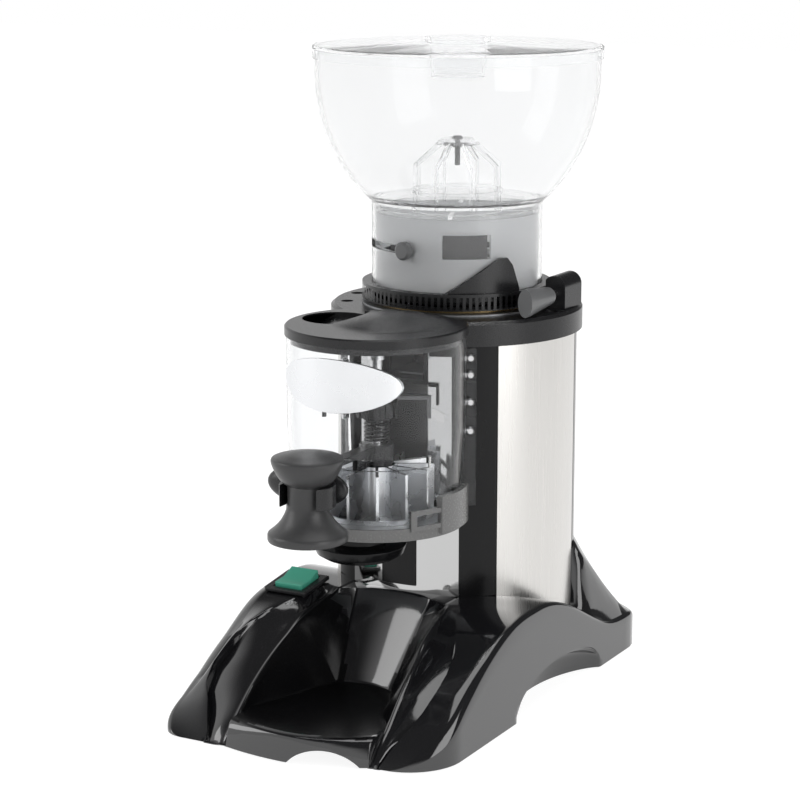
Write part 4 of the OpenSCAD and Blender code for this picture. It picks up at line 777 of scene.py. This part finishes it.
ribbed_band = hoop("ribbed_band", 65, band_low - 0.1, band_high + 0.2, wall=1.1, ribs=150, rib_depth=0.8)
ring_skirt = hoop("ring_skirt", 63.5, band_low - 3, band_low, wall=1.5)
merged(grind_ring, [ribbed_band, ring_skirt])
dark_grey = finish("dark_grey", (0.10, 0.102, 0.104), (0.125, 0.127, 0.129), (0.3, 0.42),
                   grain=1500, relief=0.05)
softened("worm_housing", "worm_bracket", black_matt, edge=1.2, steps=3)
dress("worm_shaft", bright_steel)
softened("worm_grip", "worm_knob", dark_grey, edge=0)


# ---------------------------------------------------------------- hopper
# Clear polycarbonate bowl and neck, with a smoked liner, the shutter that
# stops the beans, a ribbed dome over the throat, and a clear lid.
def clear_plastic(name, colour, rough, index, haze, painted_edge_share=1):
    """Clear moulded plastic with faint flow marks and haze. Seen edge-on, its colour darkens to the share
    given for the edges: painted shade that draws its outlines.
    """
    look = bpy.data.materials.new(name)
    look.use_nodes = True
    tree = look.node_tree
    shader = tree.nodes["Principled BSDF"]
    shader.inputs["Base Color"].default_value = (*colour, 1)
    shader.inputs["Transmission Weight"].default_value = 1 - haze
    shader.inputs["IOR"].default_value = index
    where = tree.nodes.new("ShaderNodeTexCoord")
    flow = tree.nodes.new("ShaderNodeTexNoise")
    flow.inputs["Scale"].default_value = 25
    flow.inputs["Detail"].default_value = 3
    join(tree, where.outputs["Object"], flow.inputs["Vector"])
    spread = tree.nodes.new("ShaderNodeMapRange")
    spread.inputs["To Min"].default_value = rough[0]
    spread.inputs["To Max"].default_value = rough[1]
    join(tree, flow.outputs["Fac"], spread.inputs["Value"])
    join(tree, spread.outputs["Result"], shader.inputs["Roughness"])
    bump = tree.nodes.new("ShaderNodeBump")
    bump.inputs["Strength"].default_value = 0.05
    bump.inputs["Distance"].default_value = 0.0003
    join(tree, flow.outputs["Fac"], bump.inputs["Height"])
    join(tree, bump.outputs["Normal"], shader.inputs["Normal"])
    # Where the surface is seen edge-on its colour darkens: painted shade along the outlines
    facing = tree.nodes.new("ShaderNodeLayerWeight")
    facing.inputs["Blend"].default_value = 0.5
    edge = tree.nodes.new("ShaderNodeMapRange")
    edge.interpolation_type = "SMOOTHSTEP"
    edge.inputs["From Min"].default_value = 0.84
    edge.inputs["From Max"].default_value = 1
    edge_shade_tint = tree.nodes.new("ShaderNodeMix")
    edge_shade_tint.data_type = "RGBA"
    edge_shade_tint.inputs["A"].default_value = (*colour, 1)
    edge_shade_tint.inputs["B"].default_value = (*[part * painted_edge_share for part in colour], 1)
    join(tree, facing.outputs["Facing"], edge.inputs["Value"])
    join(tree, edge.outputs["Result"], edge_shade_tint.inputs["Factor"])
    join(tree, edge_shade_tint.outputs["Result"], shader.inputs["Base Color"])
    return look


# The clear parts darken where they are seen edge-on: painted shade along their outlines
clear = clear_plastic("clear", (0.96, 0.963, 0.966), (0, 0.03), 1.25, haze=0.06, painted_edge_share=0.6)
lid_clear = clear_plastic("lid_clear", (0.98, 0.983, 0.986), (0, 0.01), 1.03, haze=0.06, painted_edge_share=0.85)
grey_plastic = clear_plastic("grey_plastic", (0.78, 0.79, 0.8), (0.3, 0.45), 1.2, haze=0.45)
softened("hopper_shell", "hopper_bowl", clear, edge=0.3)
softened("neck_liner", "hopper_liner", grey_plastic, edge=0.3)
bean_shutter = softened("bean_shutter", "hopper_shutter", black_matt, edge=0.3)
# A dark plate on the shutter stands behind the window in the liner: painted shade, standing in for the dark
# throat seen through the window
painted_shade_plate = block((25.2, 25.7, 296.6), (29, 1.4, 20.6), turn=(0, 0, 34))
merged(bean_shutter, [painted_shade_plate])
softened("shutter_button", "shutter_knob", dark_grey, edge=0.8, steps=3)
softened("bean_dome", "bean_guard", clear, edge=0.2)
dress("guard_post", dark_grey)
softened("hopper_cap", "hopper_lid", lid_clear, edge=0.3)

# ---------------------------------------------------------------- doser
# Clear moulded chamber on a black bracket, with a cast floor, a grey band
# that clasps it, a drop-on lid, a blank badge and the dish under the outlet.
silver = finish("silver", (0.72, 0.73, 0.75), (0.85, 0.86, 0.87), (0.2, 0.35), metal=1, grain=60,
                relief=0.3, depth=0.0008)
dress("doser_bracket", satin_black)
dress("doser_floor", cast_metal)
# The chamber darkens where it is seen edge-on: painted shade along its outlines
chamber_clear = clear_plastic("chamber_clear", (0.96, 0.965, 0.97), (0, 0.02), 1.2, haze=0.012,
                              painted_edge_share=0.7)
softened("chamber_wall", "doser_body", chamber_clear, edge=0.2)
band_grey = finish("band_grey", (0.11, 0.11, 0.11), (0.14, 0.14, 0.138), (0.2, 0.3), grain=900, relief=0.02)
softened("chamber_band", "doser_band", band_grey, edge=0.5)
dress("doser_screws", bright_steel)
softened("chamber_cap", "doser_lid", black_matt, edge=1.0, steps=3)
softened("blank_badge", "badge", silver, edge=0.4)
dose_dish = softened("dose_dish", "outlet_dish", satin_black, edge=0.4)
# The dish is shallower than its solid, and hangs from the same top
dish_share = 0.72
dish_top = max(corner.co.z for corner in dose_dish.data.vertices)
for corner in dose_dish.data.vertices:
    corner.co.z = dish_top - (dish_top - corner.co.z) * dish_share

# ---------------------------------------------------------------- dosing
# Star wheel on its shaft under the sweeper, the portion nut and the spring,
# and the lever that turns them and holds the tamper in its clip.
softened("vane_wheel", "star_wheel", silver, edge=0.2)
dress("star_shaft", bright_steel)
for node in ("portion_nut", "return_spring"):
    dress(node, black_matt)
dress("sweeper", dark_grey)
dosing_lever = softened("dosing_lever", "doser_lever", black_matt, edge=1.5, steps=3)
thumb_place = (-11.6, -114.5, 163)
thumb_radii = (29, 7, 13)
bpy.ops.object.select_all(action="DESELECT")
bpy.ops.mesh.primitive_uv_sphere_add(segments=48, ring_count=24, radius=1,
                                     location=[part * MM for part in thumb_place])
thumb_bar = bpy.context.active_object
thumb_bar.scale = [part * MM for part in thumb_radii]
bpy.ops.object.transform_apply()
bpy.ops.object.shade_smooth()
merged(dosing_lever, [thumb_bar])

tamper_black = finish("tamper_black", (0.036, 0.036, 0.037), (0.05, 0.05, 0.051), (0.3, 0.42),
                      grain=1100, relief=0.1, gloss=0.4)


def turned(name, x, y, outline):
    """A solid turned round an upright axis through x, y from an outline of radius and height."""
    bpy.ops.object.select_all(action="DESELECT")
    bpy.ops.mesh.primitive_grid_add(x_subdivisions=len(outline) - 1, y_subdivisions=1, size=1)
    piece = bpy.context.active_object
    piece.name = name
    places = [(x + radius, y, height) for radius, height in outline] * 2
    piece.data.vertices.foreach_set("co", [value * MM for place in places for value in place])
    bpy.ops.object.mode_set(mode="EDIT")
    bpy.ops.mesh.select_all(action="SELECT")
    bpy.ops.mesh.remove_doubles(threshold=0.0001 * MM)
    bpy.ops.mesh.delete(type="ONLY_FACE")
    bpy.ops.mesh.select_all(action="SELECT")
    bpy.ops.mesh.spin(steps=96, angle=math.radians(360), center=(x * MM, y * MM, 0), axis=(0, 0, 1))
    bpy.ops.mesh.select_all(action="SELECT")
    bpy.ops.mesh.remove_doubles(threshold=0.01 * MM)
    bpy.ops.mesh.normals_make_consistent(inside=False)
    bpy.ops.object.mode_set(mode="OBJECT")
    bpy.ops.object.shade_smooth_by_angle(angle=math.radians(30))
    return piece


hand_tamper = turned("hand_tamper", 0, -134.1, [
    (0, 134), (23.6, 134), (24.6, 134.4), (25, 135.3), (25, 138.2), (24.6, 139.2), (23.6, 140),
    (21.6, 141.6), (19, 144), (16.6, 147), (14.6, 150.6), (13.2, 154), (12.5, 157), (12.5, 168.6),
    (13, 169.6), (15.2, 171), (17.4, 173.4), (19.4, 176.6), (21.2, 180.2), (22.2, 183), (22.5, 184.4),
    (22.4, 185.6), (21.8, 186.4), (20.6, 186.9), (19.2, 187.1), (14, 188.4), (8, 189.4), (0, 189.9)])
hand_tamper.data.materials.append(tamper_black)
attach(hand_tamper, "tamper")
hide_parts("tamper")
